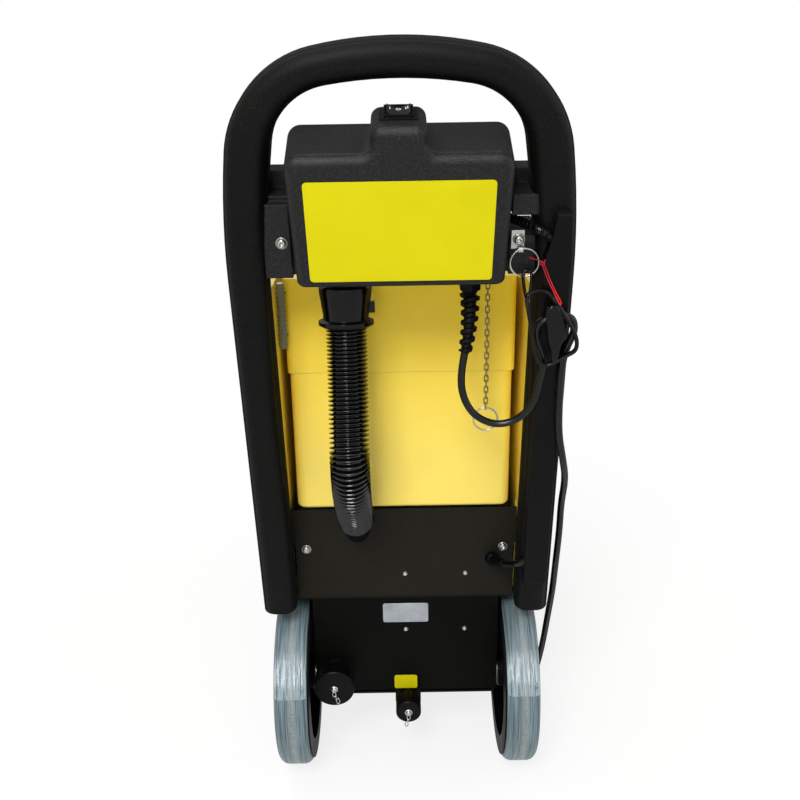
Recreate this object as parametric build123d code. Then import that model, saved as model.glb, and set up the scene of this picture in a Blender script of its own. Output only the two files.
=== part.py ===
from build123d import *
import math
import os

os.makedirs("parts", exist_ok=True)

# Driving dimensions in mm. X is right as the operator sees it, Y is forward, Z is up.
# Local y values are counted from the wheel axle, AXLE_Y puts the axle in the shared frame.
AXLE_Y = -167.6
AXLE_Z = 125.0
WHEEL_R = 125.0
WHEEL_X = 154.5
TREAD_W = 44.0
RIM_W = 48.0
AXLE_R = 10.0

LEAN = 8.6
HANDLE_DEPTH = 50.0
HANDLE_HALF = 188.0
HANDLE_INNER = 145.0
FOOT_U = 7.0
FOOT_IN = 0.5

BOX_REAR_W = -45.0
BOX_FRONT_W = 62.0
BOX_SPLIT_W = 44.0
BOX_LOW_U = 489.5
BOX_TOP_U = 634.0
BOX_WALL = 3.0
TOP_TILT = 3.5
TOWER_REAR_W = -2.0
TOWER_HALF = 28.0
TOWER_RISE = 27.8
TOWER_FLOW = 12.0
TOWER_ROUND = 11.0
SWITCH_W = 23.5

SHELL_HALF = 186.0
SHELL_TOP = 712.0
BAY_LEFT = -149.0
BAY_RIGHT = 149.0
TRAY_HALF = 124.0
SHEET = 3.0
DECK_TOP = 404.0
TANK_SPLIT = 592.0
TANK_REAR = -30.0
LARGE_DRAIN = (-100.0, 143.0)
SMALL_DRAIN = (2.0, 102.0)
VAC_X = 35.0
VAC_Y = 110.0
FILLER_X = 80.0
FILLER_Y = 372.0
NECK_R = 20.5

BRUSH_Y = 424.0
BRUSH_Z = 52.0
MOTOR_Y = 250.0
MOTOR_Z = 150.0
MOTOR_PULLEY_R = 14.0
BRUSH_PULLEY_R = 28.0
BELT_T = 3.0

HOSE_X = -62.0
HOSE_R = 23.3
HOSE_BORE = 18.0
HOSE_PITCH = 5.1

LEAD_R = 4.2
COIL_CENTRE = (60.0, 663.0)
COIL_OUTER = 88.0
COIL_PITCH = 9.0
COIL_LAYER = 9.0
COIL_FLOOR = 5.8
COIL_HALF_TURNS = 9

HANDLE = Plane(
    origin=(0, AXLE_Y - 45.0, 264.0),
    x_dir=(1, 0, 0),
    z_dir=(0, -math.cos(math.radians(LEAN)), -math.sin(math.radians(LEAN))),
)


def at(x, y, z):
    """Point in the shared frame from one counted from the axle."""
    return Vector(x, AXLE_Y + y, z)


def lean_at(x, u, w):
    """Point given across, up and behind the leaning handle."""
    return HANDLE.from_local_coords(Vector(x, u, w))


def block(x0, x1, y0, y1, z0, z1):
    """Upright box from its limits."""
    return Pos(at((x0 + x1) / 2, (y0 + y1) / 2, (z0 + z1) / 2)) * Box(x1 - x0, y1 - y0, z1 - z0)


def lean_block(x0, x1, u0, u1, w0, w1):
    """Box from its limits in the leaning handle's frame."""
    centre = Pos((x0 + x1) / 2, (u0 + u1) / 2, (w0 + w1) / 2)
    return HANDLE * centre * Box(x1 - x0, u1 - u0, w1 - w0)


def rod_between(start, end, radius):
    """Round bar between two points."""
    span = end - start
    plane = Plane(origin=start, z_dir=span)
    return plane * Pos(0, 0, span.length / 2) * Cylinder(radius, span.length)


def rod_x(x0, x1, y, z, radius):
    return rod_between(at(x0, y, z), at(x1, y, z), radius)


def rod_y(x, y0, y1, z, radius):
    return rod_between(at(x, y0, z), at(x, y1, z), radius)


def rod_z(x, y, z0, z1, radius):
    return rod_between(at(x, y, z0), at(x, y, z1), radius)


def side_prism(points, x0, x1):
    """Prism across X of a closed outline of y and z."""
    plane = Plane(origin=at(x0, 0, 0), x_dir=(0, 1, 0), z_dir=(1, 0, 0))
    face = plane * make_face(Polyline(*points, close=True))
    return extrude(face, amount=x1 - x0, dir=(1, 0, 0))


def lean_prism(points, w0, w1):
    """Prism along the handle's depth of a closed outline of x and u."""
    face = HANDLE.offset(w0) * make_face(Polyline(*points, close=True))
    return extrude(face, amount=w1 - w0, dir=HANDLE.z_dir)


def turned(plane, profile):
    """Body of revolution about the plane's z axis from radius and height pairs."""
    section = Plane(origin=plane.origin, x_dir=plane.x_dir, z_dir=-plane.y_dir)
    face = section * make_face(Polyline(*profile, close=True))
    return revolve(face, Axis(plane.origin, plane.z_dir), 360)


def cord(name, points, radius):
    """Round cord along straight runs joined by tangent arcs, as large as the runs allow."""
    radii = []
    for before, corner, after in zip(points, points[1:], points[2:]):
        first = corner - before
        second = after - corner
        half = math.radians(first.get_angle(second)) / 2
        radii.append(0.45 * min(first.length, second.length) / math.tan(half))
    path = FilletPolyline(*points, radius=radii)
    body = sweep(Plane(origin=path @ 0, z_dir=path % 0) * Circle(radius), path=path)
    wanted = math.pi * radius**2 * path.length
    print(f"{name}: {path.length:.0f} long, volume ratio {body.volume / wanted:.4f}")
    print(f"  corner radii in diameters {[round(r / radius / 2, 1) for r in radii]}")
    return body


def ribbed(path, count, root, crest, taper=1.0):
    """Ribbed tube skin: four circles for each rib on a steady X axis."""
    sections = []
    for rib in range(count):
        for part, radius in ((0.0, root), (0.18, crest), (0.62, crest), (0.80, root)):
            where = (rib + part) / count
            size = radius * (1 + (taper - 1) * where)
            plane = Plane(origin=path @ where, x_dir=(1, 0, 0), z_dir=path % where)
            sections.append(plane * Circle(size))
    last = Plane(origin=path @ 1, x_dir=(1, 0, 0), z_dir=path % 1)
    sections.append(last * Circle(root * taper))
    return loft(sections, ruled=True)


def bore_along(path, radius):
    return sweep(Plane(origin=path @ 0, x_dir=(1, 0, 0), z_dir=path % 0) * Circle(radius), path=path)


def screw(plane, head_r, head_t, washer_r, washer_t, shank_r, shank_l):
    """Pan-head screw with a washer, seated on the plane, shank pointing into it."""
    body = plane * Pos(0, 0, washer_t / 2) * Cylinder(washer_r, washer_t)
    body += plane * Pos(0, 0, washer_t + head_t / 2) * Cylinder(head_r, head_t)
    body += plane * Pos(0, 0, -shank_l / 2) * Cylinder(shank_r, shank_l)
    slot = plane * Pos(0, 0, washer_t + head_t) * Box(head_r * 1.3, 1.2, 2.0)
    cross = plane * Pos(0, 0, washer_t + head_t) * Box(1.2, head_r * 1.3, 2.0)
    return body - slot - cross


def handle_chain(foot, half, straight, arcs):
    """One side of the handle outline, from its foot to the middle of the top bar."""
    edges = [Line((foot, FOOT_U), (half, straight))]
    for radius, turn in arcs:
        previous = edges[-1]
        edges.append(JernArc(previous @ 1, previous % 1, radius, turn))
    previous = edges[-1]
    turn = 180 - math.degrees(math.atan2((previous % 1).Y, (previous % 1).X))
    radius = (previous @ 1).X / math.sin(math.radians(turn))
    edges.append(JernArc(previous @ 1, previous % 1, radius, turn))
    return edges


def make_handle():
    outer = handle_chain(HANDLE_HALF - FOOT_IN, HANDLE_HALF, 479.5, ((974, 8.3), (116.5, 69.8)))
    inner = handle_chain(HANDLE_INNER, HANDLE_INNER, 441, ((1178, 9.0), (70.2, 71.5)))
    right = outer + inner + [Line((HANDLE_INNER, FOOT_U), (HANDLE_HALF - FOOT_IN, FOOT_U))]
    left = [edge.mirror(Plane.YZ) for edge in right]
    face = HANDLE.offset(-HANDLE_DEPTH / 2) * make_face(right + left)
    body = extrude(face, amount=HANDLE_DEPTH, dir=HANDLE.z_dir)
    long_edges = []
    for edge in body.edges():
        local = HANDLE.to_local_coords(edge.center())
        if abs(abs(local.Z) - HANDLE_DEPTH / 2) < 0.01 and local.Y > FOOT_U + 1:
            long_edges.append(edge)
    body = fillet(long_edges, 15)
    foot = [edge for edge in body.edges() if HANDLE.to_local_coords(edge.center()).Y < FOOT_U + 0.01]
    return chamfer(foot, 3)


def box_outline(half_top, half_low, low_u, top_u):
    return (half_top, top_u), (-half_top, top_u), (-half_low, low_u), (half_low, low_u)


def top_at(w):
    """Height of the box's top face, which falls a little towards the operator."""
    return BOX_TOP_U - (w - BOX_REAR_W) * math.tan(math.radians(TOP_TILT))


def box_body(inset):
    """Tapering box from its rear face to its front face, shrunk by the inset."""
    rear_w, front_w = BOX_REAR_W + inset, BOX_FRONT_W - inset
    rear = box_outline(119 - inset, 112 - inset, BOX_LOW_U + inset, top_at(rear_w) - inset)
    front = box_outline(114 - inset, 107.5 - inset, BOX_LOW_U + inset, top_at(front_w) - inset)
    first = HANDLE.offset(rear_w) * make_face(Polyline(*rear, close=True))
    last = HANDLE.offset(front_w) * make_face(Polyline(*front, close=True))
    return loft([first, last], ruled=True)


TILT = math.radians(TOP_TILT)
SWITCH = Plane(
    origin=lean_at(0, top_at(SWITCH_W) + TOWER_RISE, SWITCH_W),
    x_dir=(1, 0, 0),
    z_dir=HANDLE.y_dir * math.cos(TILT) + HANDLE.z_dir * math.sin(TILT),
)
HOSE_TOP = at(HOSE_X, -104, 748)
HOSE_AXIS = Plane(origin=HOSE_TOP, x_dir=(1, 0, 0), z_dir=at(HOSE_X, -135, 481) - HOSE_TOP)
PORT_AXIS = Plane(origin=at(HOSE_X, -10, 356), x_dir=(1, 0, 0), z_dir=(0, -1, 1))


def make_tower():
    """Switch tower: its sides flow into the box's top, and it falls with that top."""
    root = top_at(TOWER_REAR_W)
    crown = root + TOWER_RISE
    side, flow, turn = TOWER_HALF, TOWER_FLOW, TOWER_ROUND
    right = [
        Line((0, root - 30), (side + flow, root - 30)),
        Line((side + flow, root - 30), (side + flow, root)),
        JernArc((side + flow, root), (-1, 0), flow, -90),
        Line((side, root + flow), (side, crown - turn)),
        JernArc((side, crown - turn), (0, 1), turn, 90),
        Line((side - turn, crown), (0, crown)),
    ]
    left = [edge.mirror(Plane.YZ) for edge in right]
    face = HANDLE.offset(TOWER_REAR_W) * make_face(right + left)
    run = (BOX_FRONT_W - TOWER_REAR_W) / math.cos(TILT)
    return extrude(face, amount=run, dir=-SWITCH.y_dir)


def lean_edges(body, wanted):
    """Edges whose middle, in the leaning handle's frame, is wanted."""
    return [edge for edge in body.edges() if wanted(HANDLE.to_local_coords(edge.center()))]


def round_box(body, inset):
    """Round the top corners and the front rim of the box, or of its hollow."""
    corners = lean_edges(body, lambda c: abs(c.X) > 110 and c.Y > 620 and abs(c.Z - 8.5) < 2)
    body = fillet(corners, 15 - inset)
    front = BOX_FRONT_W - inset
    rim = lean_edges(body, lambda c: abs(c.Z - front) < 0.05 and c.Y > BOX_LOW_U + 5)
    return fillet(rim, 10.5 - inset)


def box_outside():
    """Box and tower in one, with rounded edges."""
    body = round_box(box_body(0) + make_tower(), 0)
    ends = lean_edges(body, lambda c: c.Y < BOX_LOW_U + 1 or abs(c.Z - BOX_REAR_W) < 0.05)
    return fillet([edge for edge in ends if edge.length > 20], 7)


def make_box(handle):
    """Control box halves: base with ears, tower, air duct and hose spigot, and the rear cover."""
    hollow = round_box(box_body(BOX_WALL), BOX_WALL)
    shell = box_outside() - hollow
    cavity_top = top_at(BOX_FRONT_W) + TOWER_RISE - 5
    shell -= lean_block(-21, 21, 610, cavity_top, TOWER_REAR_W + 4, BOX_FRONT_W - 4)
    shell -= SWITCH * Box(28.1, 32.3, 40)
    base = shell - lean_block(-200, 200, 400, 700, BOX_SPLIT_W, 100)
    cover = shell - lean_block(-200, 200, 400, 700, -100, BOX_SPLIT_W)
    left_ear = lean_block(-HANDLE_INNER, -109, 484, 572, BOX_REAR_W, 8)
    left_ear += lean_block(-HANDLE_INNER, -116, 484, 566, 8, 18)
    right_ear = lean_block(109, HANDLE_INNER, 484, 528, BOX_REAR_W, 8)
    right_ear += lean_block(116, HANDLE_INNER, 484, 528, 8, 16)
    right_ear += lean_block(109, HANDLE_INNER, 552, 574, BOX_REAR_W, 8)
    right_ear += lean_block(117, HANDLE_INNER, 552, 574, 8, 22)
    for a, b in ((-HANDLE_INNER, -108), (108, HANDLE_INNER)):
        right_ear += lean_block(a, b, 560, 590, BOX_REAR_W, -20)
    base += left_ear + right_ear
    base -= handle
    base += HOSE_AXIS * Pos(0, 0, 4) * Cylinder(20, 76)
    base += block(-86, -38, -100, -4, 729, 766)
    base += block(-82, -42, -24, -6, 700, 732)
    base -= HOSE_AXIS * Pos(0, 0, 4) * Cylinder(17.4, 90)
    base -= block(-83, -41, -104, -7, 732, 763)
    base -= block(-79, -45, -21, -9, 690, 740)
    base -= hollow - lean_block(-200, 200, 400, 700, BOX_SPLIT_W, 100)
    base += HOSE_AXIS * Pos(0, 0, 4) * (Cylinder(20, 76) - Cylinder(17.4, 80))
    base -= rod_between(lean_at(76.7, 480, -4), lean_at(76.7, 495, -4), 7.05)
    base -= rod_between(lean_at(105, 540, -6), lean_at(125, 540, -6), 4.6)
    eye = Plane(origin=at(98.5, -90, 744), x_dir=(1, 0, 0), z_dir=(0, 1, 0))
    base += eye * Torus(4.5, 1.2)
    base += rod_between(at(98.5, -90, 747.5), at(98.5, -90, 754.5), 2.0)
    for x, w in ((-125.5, 18), (125.5, 16)):
        base -= rod_between(lean_at(x, 524, w - 12), lean_at(x, 524, w + 4), 3.0)
    return base, cover


def make_switch():
    flange = SWITCH * Pos(0, 0, 0.75) * Box(38, 38, 1.5)
    frame = SWITCH * Pos(0, 0, 2.5) * Box(29.4, 34, 5.0)
    lower = SWITCH * Pos(0, 0, -11) * Box(28, 32.2, 22)
    body = fillet((flange + frame).edges().filter_by(Axis(SWITCH.origin, SWITCH.z_dir)), 2) + lower
    body -= SWITCH * Pos(0, 0, 0) * Box(26.8, 29.6, 16)
    pivot = SWITCH * Rot(90, 0, 0)
    body -= pivot * Cylinder(1.56, 31.2)
    section = Plane(origin=SWITCH.origin + SWITCH.y_dir * 14.5, x_dir=SWITCH.x_dir, z_dir=-SWITCH.y_dir)
    sides = Polyline((12.05, 6.8), (12.05, -3), (-12.05, -3), (-12.05, 6.8))
    dish = ThreePointArc((-12.05, 6.8), (0, 3.6), (12.05, 6.8))
    rocker = extrude(section * make_face([*sides.edges(), dish]), amount=29, dir=-SWITCH.y_dir)
    rocker += pivot * Cylinder(1.5, 30.6)
    return body, rocker


def make_shell():
    """Yellow body: two side pods and a front pod round the tank bay, open below."""
    outline = ((-19.2, 264), (400, 264), (400, SHELL_TOP), (-87.0, SHELL_TOP))
    body = side_prism(outline, -SHELL_HALF, SHELL_HALF)
    fronts = [e for e in body.edges() if e.center().Y > AXLE_Y + 399 and e.center().Z > 265]
    body = fillet(fronts, 28)
    tops = [e for e in body.edges() if e.center().Z > SHELL_TOP - 0.01 and e.center().Y > AXLE_Y - 80]
    body = fillet(tops, 6)
    body -= block(BAY_LEFT, BAY_RIGHT, -150, 345, 200, 800)
    inner = side_prism(((-13, 200), (394, 200), (394, SHELL_TOP - 6), (-80, SHELL_TOP - 6)), -180, 180)
    inner = fillet([e for e in inner.edges() if e.center().Y > AXLE_Y + 393 and e.center().Z < 700], 22)
    inner -= block(BAY_LEFT - 5, BAY_RIGHT + 5, -200, 350, 100, 900)
    body -= inner
    body -= block(FILLER_X - 26, FILLER_X + 26, 340, 352, 552, 605)
    body -= block(BAY_RIGHT - 0.5, BAY_RIGHT + 4, -60, -5, 255, DECK_TOP)
    return body - rod_z(FILLER_X, FILLER_Y, 700, 730, NECK_R + 0.5)


def make_tanks():
    lower = block(-139.5, 137, TANK_REAR, 340, DECK_TOP, TANK_SPLIT)
    lower = fillet(lower.edges().filter_by(Axis.Z), 12)
    lower = fillet(lower.faces().sort_by(Axis.Z)[0].edges(), 6)
    inside = block(-135.5, 133, TANK_REAR + 4, 336, DECK_TOP + 4, TANK_SPLIT - 4)
    lower -= fillet(inside.edges().filter_by(Axis.Z), 8)
    lower -= block(FILLER_X - 16, FILLER_X + 16, 330, 345, 560, 586)
    lower += rod_z(VAC_X, VAC_Y, DECK_TOP, TANK_SPLIT, 26)
    lower -= rod_z(VAC_X, VAC_Y, DECK_TOP - 2, TANK_SPLIT + 2, 21)
    upper = block(-142, 139.5, TANK_REAR, 342, TANK_SPLIT, SHELL_TOP)
    upper = fillet(upper.edges().filter_by(Axis.Z), 8)
    upper -= block(-138, 135.5, TANK_REAR + 4, 338, TANK_SPLIT + 4, SHELL_TOP - 4)
    upper -= block(-120, 120, 30, 320, SHELL_TOP - 10, SHELL_TOP + 10)
    upper -= block(-82.5, -41.5, -24.5, -5.5, SHELL_TOP - 10, SHELL_TOP + 10)
    upper += rod_z(VAC_X, VAC_Y, DECK_TOP - 3.5, 690, 20)
    upper -= rod_z(VAC_X, VAC_Y, DECK_TOP - 10, 700, 16)
    for x in (-68, 58):
        upper += block(x, x + 10, 12.6, 23.4, SHELL_TOP, 722) + rod_x(x, x + 10, 18, 722, 5.4)
    upper -= rod_x(-80, 80, 18, 722, 3.06)
    return lower, upper


def make_filler_neck():
    """Filler neck on the solution tank's front wall: a short elbow and an upright pipe."""
    neck = block(FILLER_X - 20, FILLER_X + 20, 340, FILLER_Y, 556, 590)
    neck += rod_z(FILLER_X, FILLER_Y, 556, 722, NECK_R)
    neck -= block(FILLER_X - 16, FILLER_X + 16, 330, FILLER_Y, 560, 586)
    return neck - rod_z(FILLER_X, FILLER_Y, 560, 730, NECK_R - 3.5)


def make_lid():
    lid = block(-128, 128, 24, 332, 715, 735)
    lid = fillet(lid.edges().filter_by(Axis.Z), 12)
    lid = fillet(lid.faces().sort_by(Axis.Z)[-1].edges(), 5)
    lid -= block(-118, 118, 36, 318, 705, 729)
    lid += block(-50, 50, 17, 26, 718, 728)
    lid += rod_x(-72, 72, 18, 722, 3)
    gasket = block(-126, 126, 26, 326, SHELL_TOP, 715) - block(-120, 120, 30, 320, 700, 720)
    return lid, gasket


def make_tray():
    """Sheet tray under the tanks that carries axle, motors and panel."""
    t = TRAY_HALF
    tray = block(-t, t, -20, 345, 100, 100 + SHEET)
    tray += block(-t, t, 342, 345, 100, 261)
    for side in (-1, 1):
        a, b = sorted((side * t, side * (t - SHEET)))
        tray += block(a, b, -26, 345, 100, 264)
        tray += block(a, b, -26, 345, 264, DECK_TOP - 3.5)
        tray += block(a, b, TANK_REAR, -26, 269, DECK_TOP - 3.5)
        c, d = sorted((side * (t - SHEET), side * 112))
        tray += block(c, d, -26, -23, 112, 264)
        e, f = sorted((side * t, side * 139))
        tray += block(e, f, TANK_REAR, TANK_REAR + SHEET, 269, DECK_TOP - 3.5)
        g, h = sorted((side * t, side * 180))
        tray += block(g, h, -12, 345, 261, 264)
    tray -= rod_x(-200, 200, 0, AXLE_Z, AXLE_R)
    tray -= rod_x(100, 140, MOTOR_Y, MOTOR_Z, 8)
    tray -= rod_y(HOSE_X, 330, 360, 175, 15.0)
    tray -= rod_y(LARGE_DRAIN[0], -40, -16, LARGE_DRAIN[1], 23.0)
    tray -= block(SMALL_DRAIN[0] - 14, SMALL_DRAIN[0] + 14, -25, -13, 90, 110)
    deck = block(-139, 139, -27, 342, DECK_TOP - 3.5, DECK_TOP)
    deck -= rod_z(VAC_X, VAC_Y, DECK_TOP - 14, DECK_TOP + 6, 20)
    return tray, deck


def make_panel():
    """Rear panel with a joggle, bored for the hose port and the drains."""
    panel = block(-144.8, 144.8, -32, -30, 267, 350)
    panel += block(-148, 148, -32, -30, 350, DECK_TOP - 1)
    panel += block(-127, 127, -32, -26, 267, 269)
    panel += block(-127, 127, -28, -26, 112, 269)
    panel -= PORT_AXIS * Pos(0, 0, 40) * Cylinder(17.0, 120)
    panel -= rod_y(LARGE_DRAIN[0], -40, -16, LARGE_DRAIN[1], 23.0)
    panel -= rod_y(SMALL_DRAIN[0], -40, -16, SMALL_DRAIN[1], 12.5)
    for x, z in ((-130.5, 345), (130.5, 345)):
        panel -= rod_y(x, -40, -20, z, 3.0)
    for x in (0, 81):
        panel -= rod_y(x, -40, -20, 305, 2.0)
        panel -= rod_y(x, -40, -20, 214, 2.0)
    return panel


def rear_plane(x, y, z):
    return Plane(origin=at(x, y, z), x_dir=(1, 0, 0), z_dir=(0, -1, 0))


def make_screws():
    """Screws of the control box's ears, the panel and the pump behind it."""
    group = []
    for x in (-125.5, 125.5):
        spot = Plane(origin=lean_at(x, 524, 18), x_dir=(1, 0, 0), z_dir=HANDLE.z_dir)
        group.append(screw(spot, 5.0, 3.2, 6.6, 1.4, 2.95, 10))
    for x in (-130.5, 130.5):
        group.append(screw(rear_plane(x, -32, 345), 4.6, 3.0, 6.4, 1.2, 3.0, 2.0))
    for x in (0, 81):
        group.append(screw(rear_plane(x, -32, 305), 2.6, 1.8, 3.2, 0.5, 2.0, 2.0))
        group.append(screw(rear_plane(x, -28, 214), 2.6, 1.8, 3.2, 0.5, 2.0, 2.0))
    return Compound(group)


def make_drain(x, z, spout_r, bore_r, cap_r, face, cap_len, flange):
    """Threaded spout on the panel and the screw cap over it."""
    spout = rod_y(x, -58, -18, z, spout_r)
    spout -= rod_y(x, -60, -10, z, bore_r)
    spout += flange
    spout -= rod_y(x, -80, 0, z, bore_r)
    cap = rod_y(x, face, face + cap_len, z, cap_r)
    cap = chamfer(cap.edges().filter_by(GeomType.CIRCLE).sort_by(Axis.Y)[0], 1.5)
    cap -= rod_y(x, face + 4, face + cap_len + 2, z, spout_r + 0.3)
    for step in range(18):
        angle = math.radians(20 * step)
        gx = x + (cap_r + 0.6) * math.cos(angle)
        gz = z + (cap_r + 0.6) * math.sin(angle)
        cap -= rod_y(gx, face + 3, face + cap_len + 1, gz, 1.6)
    return spout, cap


def make_drains():
    x, z = LARGE_DRAIN
    ring = rod_y(x, -38, -28, z, 26) - rod_y(x, -40, -20, z, 22)
    ring -= rod_y(x, -35, -33, z, 40) - rod_y(x, -36, -30, z, 24)
    large = make_drain(x, z, 23, 19, 27.8, -65, 21, ring)
    x, z = SMALL_DRAIN
    plate = block(x - 18, x + 18, -26, -23, z - 12, z + 20)
    small = make_drain(x, z, 12.5, 10, 17.4, -65, 23, plate)
    return large + small


def make_wheel(side):
    """Tyre and rim of one wheel, turned about the axle."""
    plane = Plane(origin=at(side * WHEEL_X, 0, AXLE_Z), x_dir=(0, 1, 0), z_dir=(1, 0, 0))
    half = TREAD_W / 2
    outline = ((100, -half), (116, -half), (123, -half + 5), (WHEEL_R, -half + 10))
    profile = list(outline) + [(r, -h) for r, h in reversed(outline)]
    tyre = turned(plane, profile)
    rim_half = RIM_W / 2
    bore = AXLE_R + 0.05
    profile = [(bore, rim_half), (24, rim_half), (24, 8), (92, 8), (92, rim_half), (117, rim_half)]
    profile += [(117, half), (100, half), (100, -half), (92, -half), (92, -8), (24, -8)]
    profile += [(24, -rim_half), (bore, -rim_half)]
    rim = turned(plane, [(r, -side * h) for r, h in profile])
    for step in range(6):
        angle = math.radians(60 * step)
        y = 58 * math.cos(angle)
        z = AXLE_Z + 58 * math.sin(angle)
        rim -= rod_x(side * WHEEL_X - 30, side * WHEEL_X + 30, y, z, 17)
    return tyre, rim


def make_axle():
    axle = rod_x(-188, 188, 0, AXLE_Z, AXLE_R)
    pieces = []
    for side in (-1, 1):
        for near, far, radius in ((124, 130.2, 16), (178.8, 182, 17), (182, 189.6, 14)):
            a, b = sorted((side * near, side * far))
            ring = rod_x(a, b, 0, AXLE_Z, radius)
            pieces.append(ring - rod_x(-188, 188, 0, AXLE_Z, AXLE_R))
    return axle, Compound(pieces)


def make_vacuum():
    top = DECK_TOP - 3.5
    housing = rod_z(VAC_X, VAC_Y, top - 138.5, top, 66)
    housing -= rod_z(VAC_X, VAC_Y, top - 65.5, top - 4.5, 61)
    housing -= rod_z(VAC_X, VAC_Y, top - 10, top + 10, 20)
    housing -= rod_z(VAC_X, VAC_Y, top - 100, top - 60, 6.05)
    housing -= rod_x(VAC_X + 40, VAC_X + 80, VAC_Y, top - 35.5, 14)
    fan = rod_z(VAC_X, VAC_Y, top - 54.5, top - 50.5, 56)
    fan += rod_z(VAC_X, VAC_Y, top - 28.5, top - 26.5, 56) - rod_z(VAC_X, VAC_Y, top - 30, top - 25, 24)
    fan += rod_z(VAC_X, VAC_Y, top - 98.5, top - 48.5, 6)
    for step in range(8):
        blade = Pos(38, 0, top - 39.5) * Box(34, 3, 24)
        fan += Pos(at(VAC_X, VAC_Y, 0)) * Rot(0, 0, 45 * step) * blade
    ring = rod_z(VAC_X, VAC_Y, 600, 630, 31) - rod_z(VAC_X, VAC_Y, 590, 640, 20.4)
    return housing, fan, ring


def make_pump():
    pump = block(-7, 88, -26, -23, 207, 312)
    for x in (0, 81):
        pump += rod_y(x, -30, -26, 305, 5)
    pump += block(8, 74, -23, 8, 220, 290)
    pump += rod_y(40, 8, 26, 262, 20)
    for x in (0, 81):
        for z in (305, 214):
            pump -= rod_y(x, -40, -10, z, 2.0)
    return pump


def make_brush_drive():
    """Brush motor, its pulley and shaft, belt and guard."""
    motor = rod_x(-45, 118, MOTOR_Y, MOTOR_Z, 45)
    motor += block(-30, 100, MOTOR_Y - 30, MOTOR_Y + 30, 100 + SHEET, 120)
    motor -= rod_x(80, 130, MOTOR_Y, MOTOR_Z, 5.05)
    pulley = rod_x(160, 176, MOTOR_Y, MOTOR_Z, MOTOR_PULLEY_R) + rod_x(85, 178, MOTOR_Y, MOTOR_Z, 5)
    plane = Plane(origin=at(161, 0, 0), x_dir=(0, 1, 0), z_dir=(1, 0, 0))
    loops = []
    for extra in (0.3, 0.3 + BELT_T):
        small = Pos(MOTOR_Y, MOTOR_Z) * Circle(MOTOR_PULLEY_R + extra)
        large = Pos(BRUSH_Y, BRUSH_Z) * Circle(BRUSH_PULLEY_R + extra)
        loops.append(make_hull(small.edges() + large.edges()))
    belt = extrude(plane * (loops[1] - loops[0]), amount=14, dir=(1, 0, 0))
    outline = ((216, 118), (216, 190), (256, 200), (345, 156), (345, 52))
    inside = ((219, 121), (219, 188), (256, 196), (350, 150), (350, 53))
    guard = side_prism(outline, TRAY_HALF, 184) - side_prism(inside, TRAY_HALF - 1, 181)
    return motor, pulley, belt, guard


def make_brush():
    """Brush roller with its pulley, the bristle sleeve and the end bearings."""
    roller = rod_x(-182, 152, BRUSH_Y, BRUSH_Z, 22) + rod_x(-195, 195, BRUSH_Y, BRUSH_Z, 6)
    roller += rod_x(160, 176, BRUSH_Y, BRUSH_Z, BRUSH_PULLEY_R)
    sleeve = rod_x(-180, 150, BRUSH_Y, BRUSH_Z, 25) - rod_x(-190, 160, BRUSH_Y, BRUSH_Z, 22)
    strands = []
    for row in range(12):
        for step in range(28):
            x = -173 + 11.7 * step
            turn = 30 * row + 2.2 * step
            strand = Pos(0, 0, 37) * Box(3.0, 2.4, 26)
            strands.append(Pos(at(x, BRUSH_Y, BRUSH_Z)) * Rot(turn, 0, 0) * strand)
    bristles = sleeve.fuse(*strands)
    ends = []
    for a, b in ((-196, -186), (186, 196)):
        ends.append(rod_x(a, b, BRUSH_Y, BRUSH_Z, 16) - rod_x(-200, 200, BRUSH_Y, BRUSH_Z, 6.05))
    return roller, bristles, Compound(ends)


def make_front():
    """Brush housing, hood, spray bar, suction shoe and suction pipe."""
    housing = block(-200, 200, 345, 504, 22, 130) - block(-196, 196, 349, 500, 0, 126)
    housing -= block(156, 181, 340, 352, 56, 126)
    outline = ((350, 264), (470, 264), (540, 190), (540, 62), (350, 62))
    inside = ((340, 260), (468.3, 260), (536, 188.4), (536, 50), (340, 50))
    hood = side_prism(outline, -205, 205) - side_prism(inside, -201, 201)
    hood += block(-124, 124, 345, 354, 236, 260)
    bar = rod_x(-150, 150, 334, 90, 7)
    for x in (-120, 0, 120):
        bar += block(x - 8, x + 8, 328, 340, 90, 100)
        bar += rod_z(x, 334, 74, 90, 4)
    shoe = block(-195, 195, 504, 538, 0, 60)
    shoe = chamfer(shoe.edges().filter_by(Axis.X).sort_by(Axis.Y)[-2:].sort_by(Axis.Z)[-1], 8)
    shoe -= block(-189, 189, 513, 529, -5, 54)
    shoe -= rod_z(HOSE_X, 520, 50, 70, 12.4)
    stops = [at(HOSE_X, 520, 60), at(HOSE_X, 520, 175), at(HOSE_X, 25, 175), at(HOSE_X, 25, 321)]
    stops.append(at(HOSE_X, -20, 366))
    path = FilletPolyline(*stops, radius=[45, 60, 60])
    pipe = bore_along(path, 15) - bore_along(path, 12.5)
    return housing, hood, bar, shoe, pipe


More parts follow.
